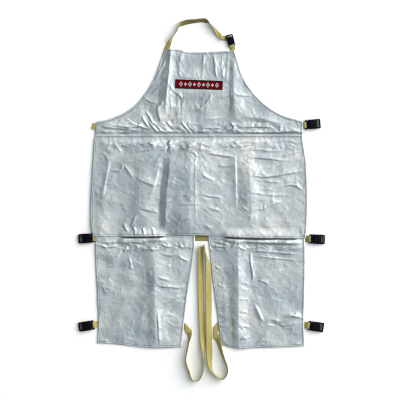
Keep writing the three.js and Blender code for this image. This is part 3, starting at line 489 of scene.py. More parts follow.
def cloth_panel(name, node, corners, level, spacing, details, stain=None):
    """A hemmed cloth panel in the place of its solid: rings of points along the hem, even triangles within
    it, and a face and a back. details gives the height at points in millimetres, and an optional second
    function the painted reflection of the golden strap there."""
    rows = outline(node, corners)
    rings = [0, 0.5 * MM, 1.4 * MM, 3.4 * MM, 5.2 * MM, hem_stitch, 6.8 * MM]
    rings += [hem, hem + 0.6 * MM, hem + 2 * MM]
    loops = [inset(rows, ring, spacing) for ring in rings]
    around = len(loops[0])
    start = (len(rings) - 1) * around
    inside = np.concatenate([loops[-1], filled(loops[-1], spacing)])
    flat = np.concatenate(loops[:-1] + [inside])
    depth = np.concatenate([np.full(around, ring) for ring in rings] + [np.ones(len(inside) - around)])
    rise = relief(node, level)

    def surface(points):
        return rise(points) + details(points / MM) * MM

    height = surface(flat)
    turned = 1 - smooth_step(hem - 0.3 * MM, hem + 0.3 * MM, depth)
    groove = np.exp(-(((depth - hem_stitch) / groove_half) ** 2))
    rounding = edge_round * (1 - smooth_step(0, cloth_thickness, depth))
    face = height + hem_rise * turned - groove_depth * groove - rounding
    back = height - cloth_thickness - 0.1 * MM * turned + 0.2 * MM * groove + rounding
    points = np.concatenate([np.column_stack([flat, face]), np.column_stack([flat, back])])
    ladders = [np.arange(around) + i * around for i in range(len(rings))]
    quads = []
    for outer, within in zip(ladders[:-1], ladders[1:]):
        quads += np.stack([outer, np.roll(outer, -1), np.roll(within, -1), within], 1).tolist()
    hemmed = [1] * (around * (len(rings) - 3)) + [0] * (2 * around)
    loop_edges = [(i, (i + 1) % around) for i in range(around)]
    places, _, triangles, origins, _, _ = delaunay_2d_cdt(
        [Vector(p) for p in inside / MM], loop_edges, [], 1, 1e-6, True
    )
    middle = []
    for triangle in triangles:
        source = [origins[i][0] for i in triangle]
        if min(source) >= around or is_inside(inside[source].mean(0), loops[-1]):
            middle.append([i + start for i in source])
    faces = quads + middle
    hemmed += [0] * len(middle)
    under = [[i + len(flat) for i in reversed(quad)] for quad in faces]
    rim = [[i, i + len(flat), (i + 1) % around + len(flat), (i + 1) % around] for i in range(around)]
    slots = [0] * len(faces) + [1 - part for part in hemmed] + [0] * around
    panel = make_object(name, points, faces + under + rim, [foil, backing], slots)
    face_outwards(panel)
    # Painted shade in the stitch groove and along the hem's inner edge.
    seam = 0.45 * groove + 0.25 * np.exp(-(((depth - hem) / groove_half) ** 2))
    panel.data.attributes.new("seam", "FLOAT", "POINT").data.foreach_set("value", np.tile(seam, 2))
    # Painted reflection of the golden strap, where a panel has one.
    reflection_share = np.zeros(len(flat)) if stain is None else stain(flat / MM)
    panel.data.attributes.new("stain", "FLOAT", "POINT").data.foreach_set("value", np.tile(reflection_share, 2))
    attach(panel, "root")
    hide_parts(node)
    row = rings.index(hem_stitch) * around
    top_row, low_row = points[row : row + around], points[len(flat) + row : len(flat) + row + around]
    return panel, [top_row + [0, 0, stitch_above], low_row - [0, 0, stitch_below]], surface


stitches = bpy.data.node_groups.new("stitch_row", "GeometryNodeTree")
inputs = {"Geometry": "Geometry", "Pitch": "Float", "Length": "Float", "Thickness": "Float"}
inputs["Material"] = "Material"
for label, kind in inputs.items():
    stitches.interface.new_socket(label, in_out="INPUT", socket_type=f"NodeSocket{kind}")
stitches.interface.new_socket("Geometry", in_out="OUTPUT", socket_type="NodeSocketGeometry")
given = stitches.nodes.new("NodeGroupInput").outputs
line, pitch, length, thickness, dye = (Wire(stitches, given[label]) for label in inputs)
curve = line.node("GeometryNodeMeshToCurve", values={0: line})
even = line.node("GeometryNodeResampleCurve", {"mode": "LENGTH"}, {"Curve": curve, "Length": pitch})
ball = line.node("GeometryNodeMeshUVSphere", values={"Segments": 6, "Rings": 4, "Radius": 0.5})
tangent = line.node("GeometryNodeInputTangent")
turned = line.node("FunctionNodeAlignRotationToVector", {"axis": "X"}, {"Vector": tangent})
size = line.node("ShaderNodeCombineXYZ", values={"X": length, "Y": thickness, "Z": thickness})
values = {"Points": even, "Instance": ball, "Rotation": turned, "Scale": size}
placed = line.node("GeometryNodeInstanceOnPoints", values=values)
real = line.node("GeometryNodeRealizeInstances", values={0: placed})
dyed = line.node("GeometryNodeSetMaterial", values={"Geometry": real, "Material": dye})
stitches.links.new(dyed.socket, stitches.nodes.new("NodeGroupOutput").inputs[0])


def sew(name, lines, pitch=4.2 * MM, length=3.0 * MM, thickness=1.1 * MM, material=thread):
    """Rows of stitches along lines of points. A line is closed when its first point ends it too."""
    points = np.concatenate(lines)
    guide = bpy.data.meshes.new(name)
    edges, start = [], 0
    for line in lines:
        edges += [(start + i, start + i + 1) for i in range(len(line) - 1)]
        start += len(line)
    guide.from_pydata([tuple(p) for p in points], edges, [])
    rows = bpy.data.objects.new(name, guide)
    bpy.context.scene.collection.objects.link(rows)
    modifier = rows.modifiers.new("stitches", "NODES")
    modifier.node_group = stitches
    given = {"Pitch": pitch, "Length": length, "Thickness": thickness, "Material": material}
    for item in stitches.interface.items_tree:
        if item.in_out == "INPUT" and item.name in given:
            modifier[item.identifier] = given[item.name]
    graph = bpy.context.evaluated_depsgraph_get()
    mesh = bpy.data.meshes.new_from_object(rows.evaluated_get(graph))
    rows.modifiers.clear()
    rows.data = mesh
    mesh.polygons.foreach_set("use_smooth", [True] * len(mesh.polygons))
    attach(rows, "root")
    return rows


def closed(line):
    return np.concatenate([line, line[:1]])


# The bib, cut with deep armholes. It hangs in long pleats from the neck edge, and its two big folds run
# down from the corners where the neck strap pulls. It is pushed into wrinkles above the waist seam.
# Each crease has its rise, its steep and gentle widths, and its path across the cloth.
bib_creases = [
    (5.0, 25, 32, [(-99, 350), (-102, 264), (-106, 213), (-112, 165), (-117, 101), (-120, 50)]),
    (2.6, 7, 26, [(-325, 35), (-299, 28), (-264, 24), (-219, 19), (-181, 16)]),
    (1.8, 4, 16, [(120, 25), (149, 28), (190, 30), (229, 28), (251, 26)]),
    (2.8, 6, 13, [(126, 12), (203, 7), (261, 11), (312, 15), (331, 23)]),
    (2.6, 14, 40, [(133, 56), (171, 54), (203, 50), (235, 40), (274, 34)]),
    (1.2, 3.5, 16, [(-178, 125), (-165, 115), (-149, 107), (-130, 102)]),
    (1.6, 3.5, 12, [(-138, 84), (-128, 89), (-117, 102), (-110, 114)]),
    (2.6, 6, 24, [(-131, 104), (-134, 85), (-130, 66), (-123, 43)]),
    (2.0, 4.5, 10, [(-182, 69), (-178, 53), (-166, 35), (-158, 27)]),
    (2.0, 4.5, 10, [(-163, 50), (-152, 34), (-139, 19), (-126, 2)]),
    (1.6, 4, 9, [(-150, 50), (-136, 34), (-123, 19), (-114, 11)]),
    (1.7, 4.5, 10, [(-123, 16), (-104, 9), (-88, -2)]),
    (1.5, 4, 9, [(-117, 26), (-98, 16), (-75, 10)]),
    (1.6, 4, 11, [(-104, 50), (-94, 34), (-75, 19)]),
    (2.4, 4, 12, [(-59, 51), (-48, 34), (-34, 18), (-24, 8)]),
    (2.2, 5, 11, [(-300, 30), (-262, 33), (-222, 27), (-188, 31), (-160, 22)]),
    (2.0, 4, 10, [(-174, 84), (-158, 62), (-150, 44), (-140, 28)]),
    (2.0, 4, 10, [(98, 44), (112, 30), (104, 22), (118, 12)]),
    (1.3, 5, 10, [(-40, 43), (-27, 24), (-8, 8)]),
    (1.4, 3.5, 14, [(-162, 29), (-187, 34), (-213, 46), (-232, 62)]),
    (1.2, 4, 12, [(-165, 155), (-149, 168), (-133, 184), (-117, 203)]),
    (1.5, 4, 9, [(-128, 206), (-117, 216), (-109, 232), (-104, 248)]),
    (1.3, 3.5, 8, [(-120, 190), (-107, 202), (-96, 210)]),
    (1.2, 4, 12, [(-146, 130), (-130, 149), (-114, 162), (-101, 171)]),
    (1.3, 3, 16, [(82, 65), (59, 62), (37, 59), (21, 54)]),
    (1.5, 3, 13, [(46, 147), (38, 130), (22, 107), (5, 92), (-24, 86)]),
    (1.2, 3, 12, [(107, 142), (98, 135), (82, 131), (66, 126)]),
    (1.2, 3.5, 12, [(-88, 46), (-75, 54), (-62, 59), (-53, 54)]),
    (1.4, 3.5, 10, [(5, 25), (24, 26), (46, 23), (82, 26)]),
    (1.3, 3.5, 7, [(34, 16), (46, 25), (62, 28)]),
    (2.0, 3.5, 10, [(85, 28), (101, 32), (114, 39)]),
    (1.8, 3.5, 6, [(106, 24), (110, 13), (120, 2)]),
    (1.6, 3.5, 6, [(94, 6), (107, 2), (123, 6)]),
    (1.2, 5, 14, [(-98, 168), (-85, 149), (-66, 130), (-46, 118)]),
    (1.1, 4, 12, [(-34, 2), (-40, 18), (-56, 30), (-69, 34)]),
    (1.3, 4, 16, [(-61, 277), (-62, 245), (-64, 206), (-66, 184)]),
    (1.2, 3.5, 12, [(13, 270), (14, 251), (13, 226)]),
    (1.3, 4, 16, [(45, 270), (48, 245), (51, 213), (54, 187)]),
    (2.6, 14, 40, [(104, 267), (105, 213), (105, 149), (108, 91), (110, 46)]),
    (1.1, 3.5, 11, [(114, 134), (133, 130), (155, 128), (174, 132)]),
]


seat_x, seat_y = 1.3, 165.7
seat_half_length, seat_half_height = 77, 16
seat_rise = 2.1


def bib_details(points):
    """The cloth is smooth on the seam and under the patch, where it rises to carry the patch."""
    x, y = points.T
    free = smooth_step(8, 14, y)
    beside = np.maximum(np.abs(x - seat_x) - seat_half_length, 0)
    from_badge = np.hypot(beside, np.maximum(np.abs(y - seat_y) - seat_half_height, 0))
    bare = smooth_step(0, 10, from_badge)
    height = crumple(points, [(-320, 0), (330, 280)], 260, 5, 1.1) + swell(points, 4)
    height += crumple(points, [(-95, 60), (115, 275)], 46, 6, math.pi / 2, 0.12, (25, 60), (0.2, 0.7))
    height += crumple(points, [(-310, 14), (320, 44)], 60, 7, 0.0, 0.5, (8, 30), (0.3, 1.1))
    for rise, steep, gentle, path in bib_creases:
        height += crease(points, rise, steep, gentle, path)
    ruck = np.clip(0.5 + 0.8 * np.sin(x / 23.0) + 0.6 * np.sin(x / 9.7 + 1) + 0.3 * np.sin(x / 4.1), 0, 1.7)
    ruck = ruck * np.exp(-(((y - 15 - 2 * np.sin(x / 31.0)) / 5) ** 2))
    return (height + ruck) * free * bare + seat_rise * (1 - smooth_step(0, 45, from_badge))


# The directions in which the bib's corners lie furthest: two at the waist, two at the sides and two at
# the neck.
bib_corners = [(-2, -3), (2, -3), (2, 1), (1, 1.5), (-1, 1.5), (-2, 1)]
bib, bib_seams, _ = cloth_panel("bib", "bib_panel", bib_corners, 3.0 * MM, 2.3 * MM, bib_details)

# The skirt, one wide panel. Its upper edge is turned in and laps over the bib's lower edge, and two rows
# of stitches hold them together as the waist seam.
skirt_creases = [
    (4.0, 75, 350, [(-62, 150), (-62, -40), (-64, -160), (-66, -480)]),
    (2.4, 90, 110, [(-230, 150), (-236, -160), (-240, -480)]),
    (3.6, 6, 30, [(-80, 6), (-92, -10), (-98, -22), (-93, -36), (-104, -52)]),
    (2.2, 4, 10, [(-240, -9), (-205, -12), (-172, -9), (-150, -14), (-128, -11), (-105, -17)]),
    (1.8, 3.5, 9, [(-196, -22), (-178, -27), (-160, -21), (-141, -26)]),
    (1.9, 4, 9, [(70, -12), (88, -18), (106, -14), (121, -22), (138, -17)]),
    (1.6, 3.5, 8, [(-60, -14), (-38, -18), (-12, -13), (14, -17)]),
    (6.2, 22, 350, [(-100, -20), (-102, -60), (-104, -101), (-107, -133), (-112, -170), (-114, -220),
                    (-116, -261), (-121, -340)]),
    (1.5, 3.5, 16, [(-128, -227), (-114, -214), (-94, -208), (-85, -206)]),
    (1.1, 4, 14, [(-72, -221), (-46, -219), (-21, -218), (-8, -221)]),
    (1.8, 3.5, 16, [(-195, -59), (-192, -52), (-181, -48), (-158, -44), (-142, -34)]),
    (1.5, 14, 40, [(-98, -43), (-117, -53), (-136, -69), (-149, -101)]),
    (1.6, 3.2, 14, [(-288, -114), (-274, -112), (-251, -113), (-242, -102), (-240, -82)]),
    (1.4, 6, 16, [(-307, -206), (-299, -171), (-293, -133), (-285, -91), (-278, -53)]),
    (1.2, 6, 18, [(-242, -88), (-226, -114), (-206, -139)]),
    (1.4, 6, 20, [(-206, -130), (-184, -144), (-158, -154), (-130, -165)]),
    (1.4, 4.5, 20, [(-194, -229), (-168, -237), (-146, -242), (-126, -246)]),
    (1.4, 3.5, 12, [(-194, -245), (-205, -258), (-213, -274), (-221, -293)]),
    (1.8, 5, 10, [(-243, -274), (-237, -293), (-226, -309)]),
    (2.2, 5, 8, [(-210, -290), (-206, -302), (-205, -318)]),
    (2.2, 5, 8, [(-182, -290), (-178, -302), (-176, -318)]),
    (2.0, 5, 8, [(-152, -290), (-147, -302), (-146, -318)]),
    (1.3, 4, 10, [(-120, -286), (-104, -280), (-88, -267)]),
    (2.6, 36, 110, [(140, -20), (143, -66), (145, -107), (147, -155), (149, -203), (152, -251),
                    (156, -330)]),
    (1.5, 4, 30, [(123, -242), (122, -187), (121, -123), (120, -75), (119, -43)]),
    (1.2, 4, 8, [(136, -222), (149, -235), (162, -240)]),
    (0.7, 3, 9, [(-13, -18), (-12, -107), (-12, -203), (-11, -302)]),
    (1.8, 3.5, 13, [(-56, -42), (-40, -38), (-21, -30), (-5, -20)]),
    (1.3, 3.5, 9, [(-53, -22), (-37, -12), (-8, -9)]),
    (1.2, 4, 10, [(-27, -46), (-14, -56), (-2, -70)]),
    (2.0, 4, 15, [(18, -53), (46, -58), (75, -63), (110, -68), (123, -71)]),
    (1.3, 5, 16, [(59, -96), (85, -98), (117, -95)]),
    (1.5, 6, 14, [(5, -118), (24, -133), (53, -146)]),
    (1.6, 5, 11, [(14, -189), (43, -195), (75, -197)]),
    (1.3, 5, 12, [(24, -229), (50, -236), (75, -242)]),
    (2.0, 4, 10, [(117, -32), (133, -25), (152, -20), (203, -15), (277, -13), (331, -11)]),
    (1.6, 3.5, 9, [(122, -37), (146, -31), (171, -26)]),
    (1.8, 3.5, 6, [(102, -27), (110, -35), (120, -30)]),
    (1.7, 3.5, 15, [(149, -67), (197, -71), (229, -73), (261, -79), (299, -78)]),
    (1.2, 4, 12, [(158, -43), (197, -45), (235, -50), (274, -46)]),
    (1.5, 3.5, 8, [(264, -69), (293, -58), (328, -48)]),
    (2.1, 4.5, 18, [(162, -114), (184, -128), (203, -132), (245, -129), (293, -119), (338, -112)]),
    (1.3, 4.5, 14, [(203, -142), (235, -149), (267, -146)]),
    (1.5, 4.5, 9, [(261, -165), (293, -156), (312, -160), (338, -176)]),
    (1.4, 3.5, 15, [(171, -237), (203, -236), (222, -228), (248, -215), (274, -208)]),
    (1.1, 5, 14, [(165, -178), (203, -187), (248, -192), (293, -187)]),
    (1.4, 4, 12, [(-296, -14), (-277, -10), (-219, -8), (-155, -11)]),
    (1.3, 4, 12, [(-274, -21), (-261, -37), (-248, -53)]),
    (1.1, 5, 12, [(-312, -50), (-299, -62), (-290, -82)]),
    (1.2, 3.5, 7, [(-162, -19), (-149, -29), (-136, -21)]),
    (1.3, 3.5, 7, [(-123, -45), (-110, -43), (-98, -35)]),
    (1.1, 6, 20, [(-155, -203), (-142, -171), (-130, -126), (-123, -82)]),
    (1.3, 5, 14, [(-72, -293), (-59, -274), (-40, -264), (-18, -263)]),
]


gap_height = 4.0


def hem_gap(x):
    """Where the skirt's hem stands off the legs, over two stretches."""
    left = smooth_step(-262, -236, x) * (1 - smooth_step(-128, -100, x))
    right = smooth_step(70, 96, x) * (1 - smooth_step(300, 334, x))
    return gap_height * (left + right)


def skirt_details(points):
    x, y = points.T
    free = smooth_step(9, 20, -y)
    height = crumple(points, [(-345, -330), (345, 8)], 420, 8, 0.2) + swell(points, 9)
    height += crumple(points, [(-320, -42), (325, -12)], 60, 10, 0.0, 0.5, (8, 30), (0.3, 1.0))
    for rise, steep, gentle, path in skirt_creases:
        height += crease(points, rise, steep, gentle, path)
    pucker = 0.12 * np.sin(x / 3.1 + np.sin(x / 11.0)) * np.exp(-(((y + 13) / 9) ** 2))
    return height * free + pucker + hem_gap(x) * smooth_step(-290, -322, y)


panel_corners = [(-1, -1), (1, -1), (1, 1), (-1, 1)]
skirt_made = cloth_panel("skirt", "skirt_panel", panel_corners, 4.9 * MM, 2.6 * MM, skirt_details)
skirt, skirt_seams, skirt_top = skirt_made

# The two leg panels, of the same cloth, with a broad fold down each. They are sewn in behind the skirt,
# and the skirt's hem lies over their tops and stands a little off them where it gapes.
leg_left_creases = [
    (1.4, 130, 110, [(-212, -150), (-212, -340), (-205, -500), (-200, -850)]),
    (2.4, 4.5, 12, [(-318, -341), (-283, -341), (-251, -340), (-203, -341), (-168, -343), (-152, -348)]),
    (1.7, 4, 8, [(-312, -354), (-280, -356), (-251, -347)]),
    (2.0, 3.5, 7, [(-165, -361), (-149, -354), (-136, -343), (-126, -330)]),
    (1.6, 3.5, 6, [(-155, -366), (-139, -361), (-123, -350)]),
    (1.7, 4, 9, [(-238, -373), (-230, -362), (-224, -349)]),
    (1.6, 4, 9, [(-206, -370), (-197, -362), (-190, -350)]),
    (1.3, 5, 12, [(-261, -392), (-251, -376), (-242, -360)]),
    (1.3, 5, 12, [(-210, -430), (-214, -405), (-222, -380)]),
    (1.2, 4, 10, [(-168, -444), (-155, -443), (-146, -432)]),
    (1.9, 24, 60, [(-154, -350), (-154, -427), (-153, -491), (-152, -555), (-151, -619), (-150, -690)]),
    (1.0, 20, 40, [(-184, -670), (-178, -619), (-168, -562), (-158, -510)]),
    (1.5, 4, 12, [(-134, -549), (-130, -603), (-127, -670)]),
    (1.4, 3.5, 11, [(-120, -375), (-104, -381), (-85, -383), (-69, -377)]),
    (1.4, 4, 11, [(-69, -381), (-53, -393), (-30, -403)]),
    (1.3, 4, 10, [(-133, -452), (-114, -458), (-94, -464)]),
    (1.7, 4, 13, [(-139, -477), (-117, -482), (-85, -484), (-66, -487), (-40, -481)]),
    (1.6, 4, 13, [(-114, -539), (-88, -528), (-66, -517), (-43, -508)]),
    (1.1, 5, 12, [(-123, -581), (-98, -572), (-72, -576)]),
]
leg_right_creases = [
    (3.0, 52, 50, [(101, -200), (101, -420), (102, -560), (102, -850)]),
    (1.8, 4, 9, [(40, -353), (69, -356), (101, -355)]),
    (1.3, 4, 7, [(40, -336), (69, -342), (101, -348)]),
    (2.0, 3.5, 6, [(104, -357), (117, -347), (122, -331)]),
    (3.0, 6, 12, [(130, -343), (181, -340), (245, -343), (334, -345)]),
    (1.3, 4, 8, [(152, -365), (203, -369), (274, -376), (338, -380)]),
    (1.2, 4, 8, [(168, -382), (245, -392), (338, -400)]),
    (2.0, 3, 14, [(164, -360), (164, -389), (166, -414), (171, -434), (171, -472)]),
    (1.3, 3.5, 7, [(165, -436), (174, -430), (184, -421)]),
    (0.9, 16, 40, [(98, -690), (95, -600), (91, -520), (82, -427), (76, -370)]),
    (1.2, 4, 9, [(50, -414), (62, -424), (78, -421)]),
    (1.2, 4, 9, [(56, -472), (72, -482), (88, -478)]),
    (1.2, 4, 9, [(69, -551), (85, -547), (98, -536)]),
    (1.1, 4, 10, [(136, -475), (149, -471), (162, -474)]),
    (1.1, 4, 9, [(133, -526), (149, -522), (162, -524)]),
    (1.4, 4, 13, [(187, -461), (206, -466), (229, -477)]),
    (1.1, 5, 12, [(235, -446), (251, -434), (270, -424)]),
    (2.0, 7, 16, [(214, -597), (203, -578), (192, -553), (180, -530)]),
    (2.0, 11, 20, [(200, -600), (232, -590), (262, -600), (290, -583), (318, -577), (338, -590)]),
    (1.3, 5, 9, [(133, -567), (146, -563), (158, -566)]),
    (1.4, 6, 9, [(134, -614), (146, -609), (162, -613)]),
    (1.2, 5, 9, [(133, -652), (145, -647), (157, -651)]),
    (1.6, 4, 12, [(277, -582), (297, -575), (315, -579), (338, -586)]),
    (1.4, 4, 11, [(254, -603), (277, -608), (302, -597)]),
    (1.2, 5, 12, [(203, -619), (222, -606), (245, -610)]),
    (1.2, 4.5, 10, [(136, -654), (152, -645), (168, -640)]),
    (1.2, 4.5, 10, [(184, -670), (200, -656), (216, -645)]),
]
skirt_hem_line = outline("skirt_panel", panel_corners)[0] / MM


def leg_details(points, creases, side, seed):
    """The cloth is smooth behind the skirt, and rises in a roll where the skirt's hem stands off it."""
    x, y = points.T
    below = np.interp(x, skirt_hem_line[:, 0], skirt_hem_line[:, 1]) - y
    left, right = sorted([32 * side, 325 * side])
    height = crumple(points, [(left, -685), (right, -315)], 170, seed, 0.3) + swell(points, seed)
    height += crumple(points, [(left, -362), (right, -336)], 50, seed, 0.0, 0.4, (8, 30), (0.3, 1.2))
    for rise, steep, gentle, path in creases:
        height += crease(points, rise, steep, gentle, path)
    roll = smooth_step(0.5, 7.5, below) * (1 - smooth_step(8, 24, below))
    return height * smooth_step(3, 12, below) + hem_gap(x) * roll


def leg_strap_reflection(points):
    """Painted reflection of the golden strap: a brown streak along the fold of the right leg."""
    x, y = points.T
    patches = np.clip(np.sin(y / 17.0) * 0.25 + np.sin(y / 6.1 + x / 9.0) * 0.2 + 0.6, 0, 1)
    fold_x = 111 - (y + 600) * 0.035
    return 0.8 * patches * np.exp(-(((x - fold_x) / 7.0) ** 2)) * smooth_step(490, 560, -y)


leg_left, left_seams, _ = cloth_panel(
    "leg_panel_left", "leg_left", panel_corners, 3.0 * MM, 2.5 * MM,
    lambda points: leg_details(points, leg_left_creases, -1, 21),
)
leg_right, right_seams, _ = cloth_panel(
    "leg_panel_right", "leg_right", panel_corners, 3.0 * MM, 2.5 * MM,
    lambda points: leg_details(points, leg_right_creases, 1, 22), leg_strap_reflection,
)

# The waist seam's second row of stitches, the stitches along every hem, and the flat size of each panel.
second_row_y = -4.8
waist_row = np.column_stack([np.arange(-326, 327, 2.0), np.full(327, second_row_y)]) * MM
waist_row = np.column_stack([waist_row, skirt_top(waist_row) + stitch_above])

for panel, name, seams, flat_size, area, below in [
    (bib, "bib_stitches", bib_seams, (0.68, 0.3), 0.113, ["waist_strap", "neck_strap"]),
    (skirt, "skirt_stitches", skirt_seams, (0.7, 0.335), 0.227, ["leg_panel_left", "leg_panel_right"]),
    (leg_left, "leg_left_stitches", left_seams, (0.33, 0.66), 0.19, ["hip_strap"]),
    (leg_right, "leg_right_stitches", right_seams, (0.33, 0.66), 0.19, ["hip_strap"]),
]:
    lines = [closed(line) for line in seams] + ([waist_row] if panel is skirt else [])
    rows = sew(name, lines)


# The patch: dark red twill with an overlocked black edge, sewn flat on the chest. Its ornament is a plain
# row of grey lozenges in satin stitch, every other one hollow with a small one inside it.
badge_low, badge_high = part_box("badge")
badge_centre = (badge_low + badge_high) / 2
badge_half = (76 * MM, 14.5 * MM)
badge_tilt = math.radians(-2)
border = 3.2 * MM
badge_top = badge_high.z - 0.35 * MM

twill, place, shader = new_material("red_twill", roughness=0.85, specular_ior_level=0.05)
x, y, z = place.split()
diagonal = (x + y).wave(1.1 * MM)
mottle = place.noise(220.0, 3.0)
red = (diagonal * 0.25 + mottle * 0.8).between(0.1, 0.8).blend((0.085, 0.0, 0.002), (0.19, 0.001, 0.006))
feed(twill, shader, base_color=red)
feed(twill, shader, normal=bump(diagonal * 0.5 + mottle * 0.3, 0.2 * MM))
edging, place, shader = new_material("black_overlock", roughness=0.8, specular_ior_level=0.04)
strand = place.noise(700.0, 2.0)
black = strand.between(0.2, 0.8).blend((0.004, 0.003, 0.004), (0.016, 0.012, 0.014))
feed(edging, shader, base_color=black)
feed(edging, shader, normal=bump(strand, 0.2 * MM))
satin, place, shader = new_material("grey_satin_stitch", roughness=0.45)
strand = place.noise(900.0, 2.0)
grey = strand.between(0.2, 0.8).blend((0.3, 0.32, 0.35), (0.48, 0.5, 0.53))
feed(satin, shader, base_color=grey)
feed(satin, shader, normal=bump(strand, 0.15 * MM))


def on_badge(u, v, z):
    """A point of the patch from its own axes, which start at its middle."""
    c, s = math.cos(badge_tilt), math.sin(badge_tilt)
    return badge_centre.x + u * c - v * s, badge_centre.y + u * s + v * c, z


def badge_loop(margin, z, corner=3 * MM, steps=6):
    """The patch's outline with round corners, drawn in by a margin."""
    corner = max(corner - margin, 0.3 * MM)
    loop = []
    for k, (a, b) in enumerate([(1, 1), (-1, 1), (-1, -1), (1, -1)]):
        for i in range(steps + 1):
            angle = (k + i / steps) * math.pi / 2
            u = a * (badge_half[0] - margin - corner) + corner * math.cos(angle)
            v = b * (badge_half[1] - margin - corner) + corner * math.sin(angle)
            loop.append(on_badge(u, v, z))
    return loop


def ladder(start, count, rows):
    """Faces between closed rows of points, each row having the same count."""
    faces = []
    for row in range(rows - 1):
        a, b = start + row * count, start + (row + 1) * count
        faces += [(a + i, a + (i + 1) % count, b + (i + 1) % count, b + i) for i in range(count)]
    return faces


field_rows = [
    (0.3 * MM, badge_low.z),
    (0, badge_low.z + 0.4 * MM),
    (0, badge_top - 0.25 * MM),
    (0.4 * MM, badge_top),
    (4 * MM, badge_top + 0.05 * MM),
    (8 * MM, badge_top + 0.05 * MM),
]
points = [point for margin, z in field_rows for point in badge_loop(margin, z)]
count = len(points) // len(field_rows)
faces = ladder(0, count, len(field_rows))
faces += [tuple(range(count - 1, -1, -1)), tuple(range(len(points) - count, len(points)))]
patch = make_object("badge_field", points, faces, [twill])
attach(patch, "root")
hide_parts("badge")

overlock_pitch = 3 * MM
edge_line = closed(np.array(badge_loop(border / 2, badge_top + 0.1 * MM, steps=10)))
walked = []
for a, b in zip(edge_line[:-1], edge_line[1:]):
    count = max(int(np.linalg.norm(b - a) / overlock_pitch), 1)
    walked += list(np.linspace(a, b, count, endpoint=False))
around = 8
points = []
for i, here in enumerate(walked):
    ahead = walked[(i + 1) % len(walked)] - walked[i - 1]
    ahead /= np.linalg.norm(ahead)
    aside = np.array([-ahead[1], ahead[0], 0])
    girth = (border / 2) * (1 + 0.08 * (i % 2))
    for k in range(around):
        angle = 2 * math.pi * k / around
        points.append(here + girth * (aside * math.cos(angle) + np.array([0, 0, 0.55 * math.sin(angle)])))
faces = ladder(0, around, len(walked))
last = (len(walked) - 1) * around
faces += [(last + k, last + (k + 1) % around, (k + 1) % around, k) for k in range(around)]
badge_edge = make_object("badge_edge", points, faces, [edging])
face_outwards(badge_edge)
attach(badge_edge, "root")

ornament_pitch = 14.4 * MM
lozenge_half = (6.6 * MM, 8.6 * MM)
stitch_height = 0.55 * MM
hollow_pair = [(1.0, 0.6), (0.34, 0.0)]
single = [(0.72, 0.0)]
points, faces = [], []
for i in range(-4, 5):
    for scale, hollow in hollow_pair if i % 2 == 0 else single:
        faces += ladder(len(points), 4, 4)
        for share, z in [(1, 0), (0.9, 1), (hollow + 0.04, 1), (hollow, 0)]:
            for u, v in [(1, 0), (0, 1), (-1, 0), (0, -1)]:
                u, v = u * lozenge_half[0] * scale * share, v * lozenge_half[1] * scale * share
                points.append(on_badge(i * ornament_pitch + u, v, badge_top + z * stitch_height))
ornament = make_object("badge_ornament", points, faces, [satin], smooth=False)
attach(ornament, "root")


# The webbing: golden yellow polyester, close woven, with a thicker selvedge along both edges. Where it
# lies on its edge its face is darker with painted shade. UV runs across and along the band, in metres.
rib_pitch = 1.25 * MM
sheen = {"sheen_weight": 0.25, "sheen_roughness": 0.5}
webbing, place, shader = new_material("golden_webbing", roughness=0.72, **sheen)
across, along, _ = place.node("ShaderNodeTexCoord", out=2).split()
rib = across.wave(rib_pitch)
pick = (along * (2.2 * math.pi / rib_pitch) + 0.9 * rib).math("SINE")
dust = place.noise(60.0, 4.0, 0.6)
fuzz = place.noise(800.0, 2.0)
body_tone = (0.5 + 0.22 * rib * pick + 0.5 * (dust - 0.5) + 0.5 * (fuzz - 0.5)).between(0.05, 0.95)
# Painted shade: an attribute darkens the webbing where it lies on its edge or in shadow.
worn = place.node("ShaderNodeAttribute", {"attribute_name": "worn"}, out=2)
lighter_tone = body_tone.blend((0.27, 0.22, 0.04), (0.47, 0.4, 0.115))
darker_tone = body_tone.blend((0.085, 0.07, 0.016), (0.155, 0.13, 0.036))
feed(webbing, shader, base_color=worn.blend(lighter_tone, darker_tone))
feed(webbing, shader, normal=bump(rib * 0.3 + pick * 0.3 + fuzz * 0.4, 0.35 * MM, 0.7))


def rings_of(name):
    """The four corners of a ribbon solid at each of its stations, from one end to the other."""
    made = solid_mesh(name)
    place = np.array([v.co for v in made.verts])
    near = [{e.other_vert(v).index for e in v.link_edges} for v in made.verts]
    flat_ends = []
    for edge in made.edges:
        a, b = (v.index for v in edge.verts)
        c, d = ({v.index for v in face.verts}.difference((a, b)).pop() for face in edge.link_faces)
        sides = [np.linalg.norm(place[i] - place[j]) for i, j in ((a, c), (c, b), (b, d), (d, a))]
        square = abs(np.dot(place[c] - place[a], place[b] - place[c])) < 0.02 * sides[0] * sides[1]
        if edge.calc_face_angle(0) < 0.002 and square and sum(len(near[i]) for i in (a, b, c, d)) < 20:
            outside = (near[a] | near[b] | near[c] | near[d]) - {a, b, c, d}
            if len(outside) == 4:
                flat_ends.append([a, c, b, d])
    made.free()
    rings = [flat_ends[0]]
    seen = set(rings[0])
    while ahead := set().union(*(near[i] for i in rings[-1])) - seen:
        trials = itertools.permutations(ahead)
        last = list(rings[-1])
        linked = [t for t in trials if all(b in near[a] for a, b in zip(last, t))
                  and all(t[k - 1] in near[t[k]] for k in range(4))]
        lengths = [np.linalg.norm(place[last] - place[list(t)], axis=1).sum() for t in linked]
        rings.append(linked[int(np.argmin(lengths))])
        seen |= ahead
    return place[np.array(rings)]


band_shares = [0, 0.012, 0.05, 0.1, 0.16, 0.25, 0.4, 0.5, 0.6, 0.75, 0.84, 0.9, 0.95, 0.988, 1]
band_hollow = [0.36, 0.06, 0, 0.03, 0.1, 0.08, 0.06, 0.06, 0.06, 0.08, 0.1, 0.03, 0, 0.06, 0.36]


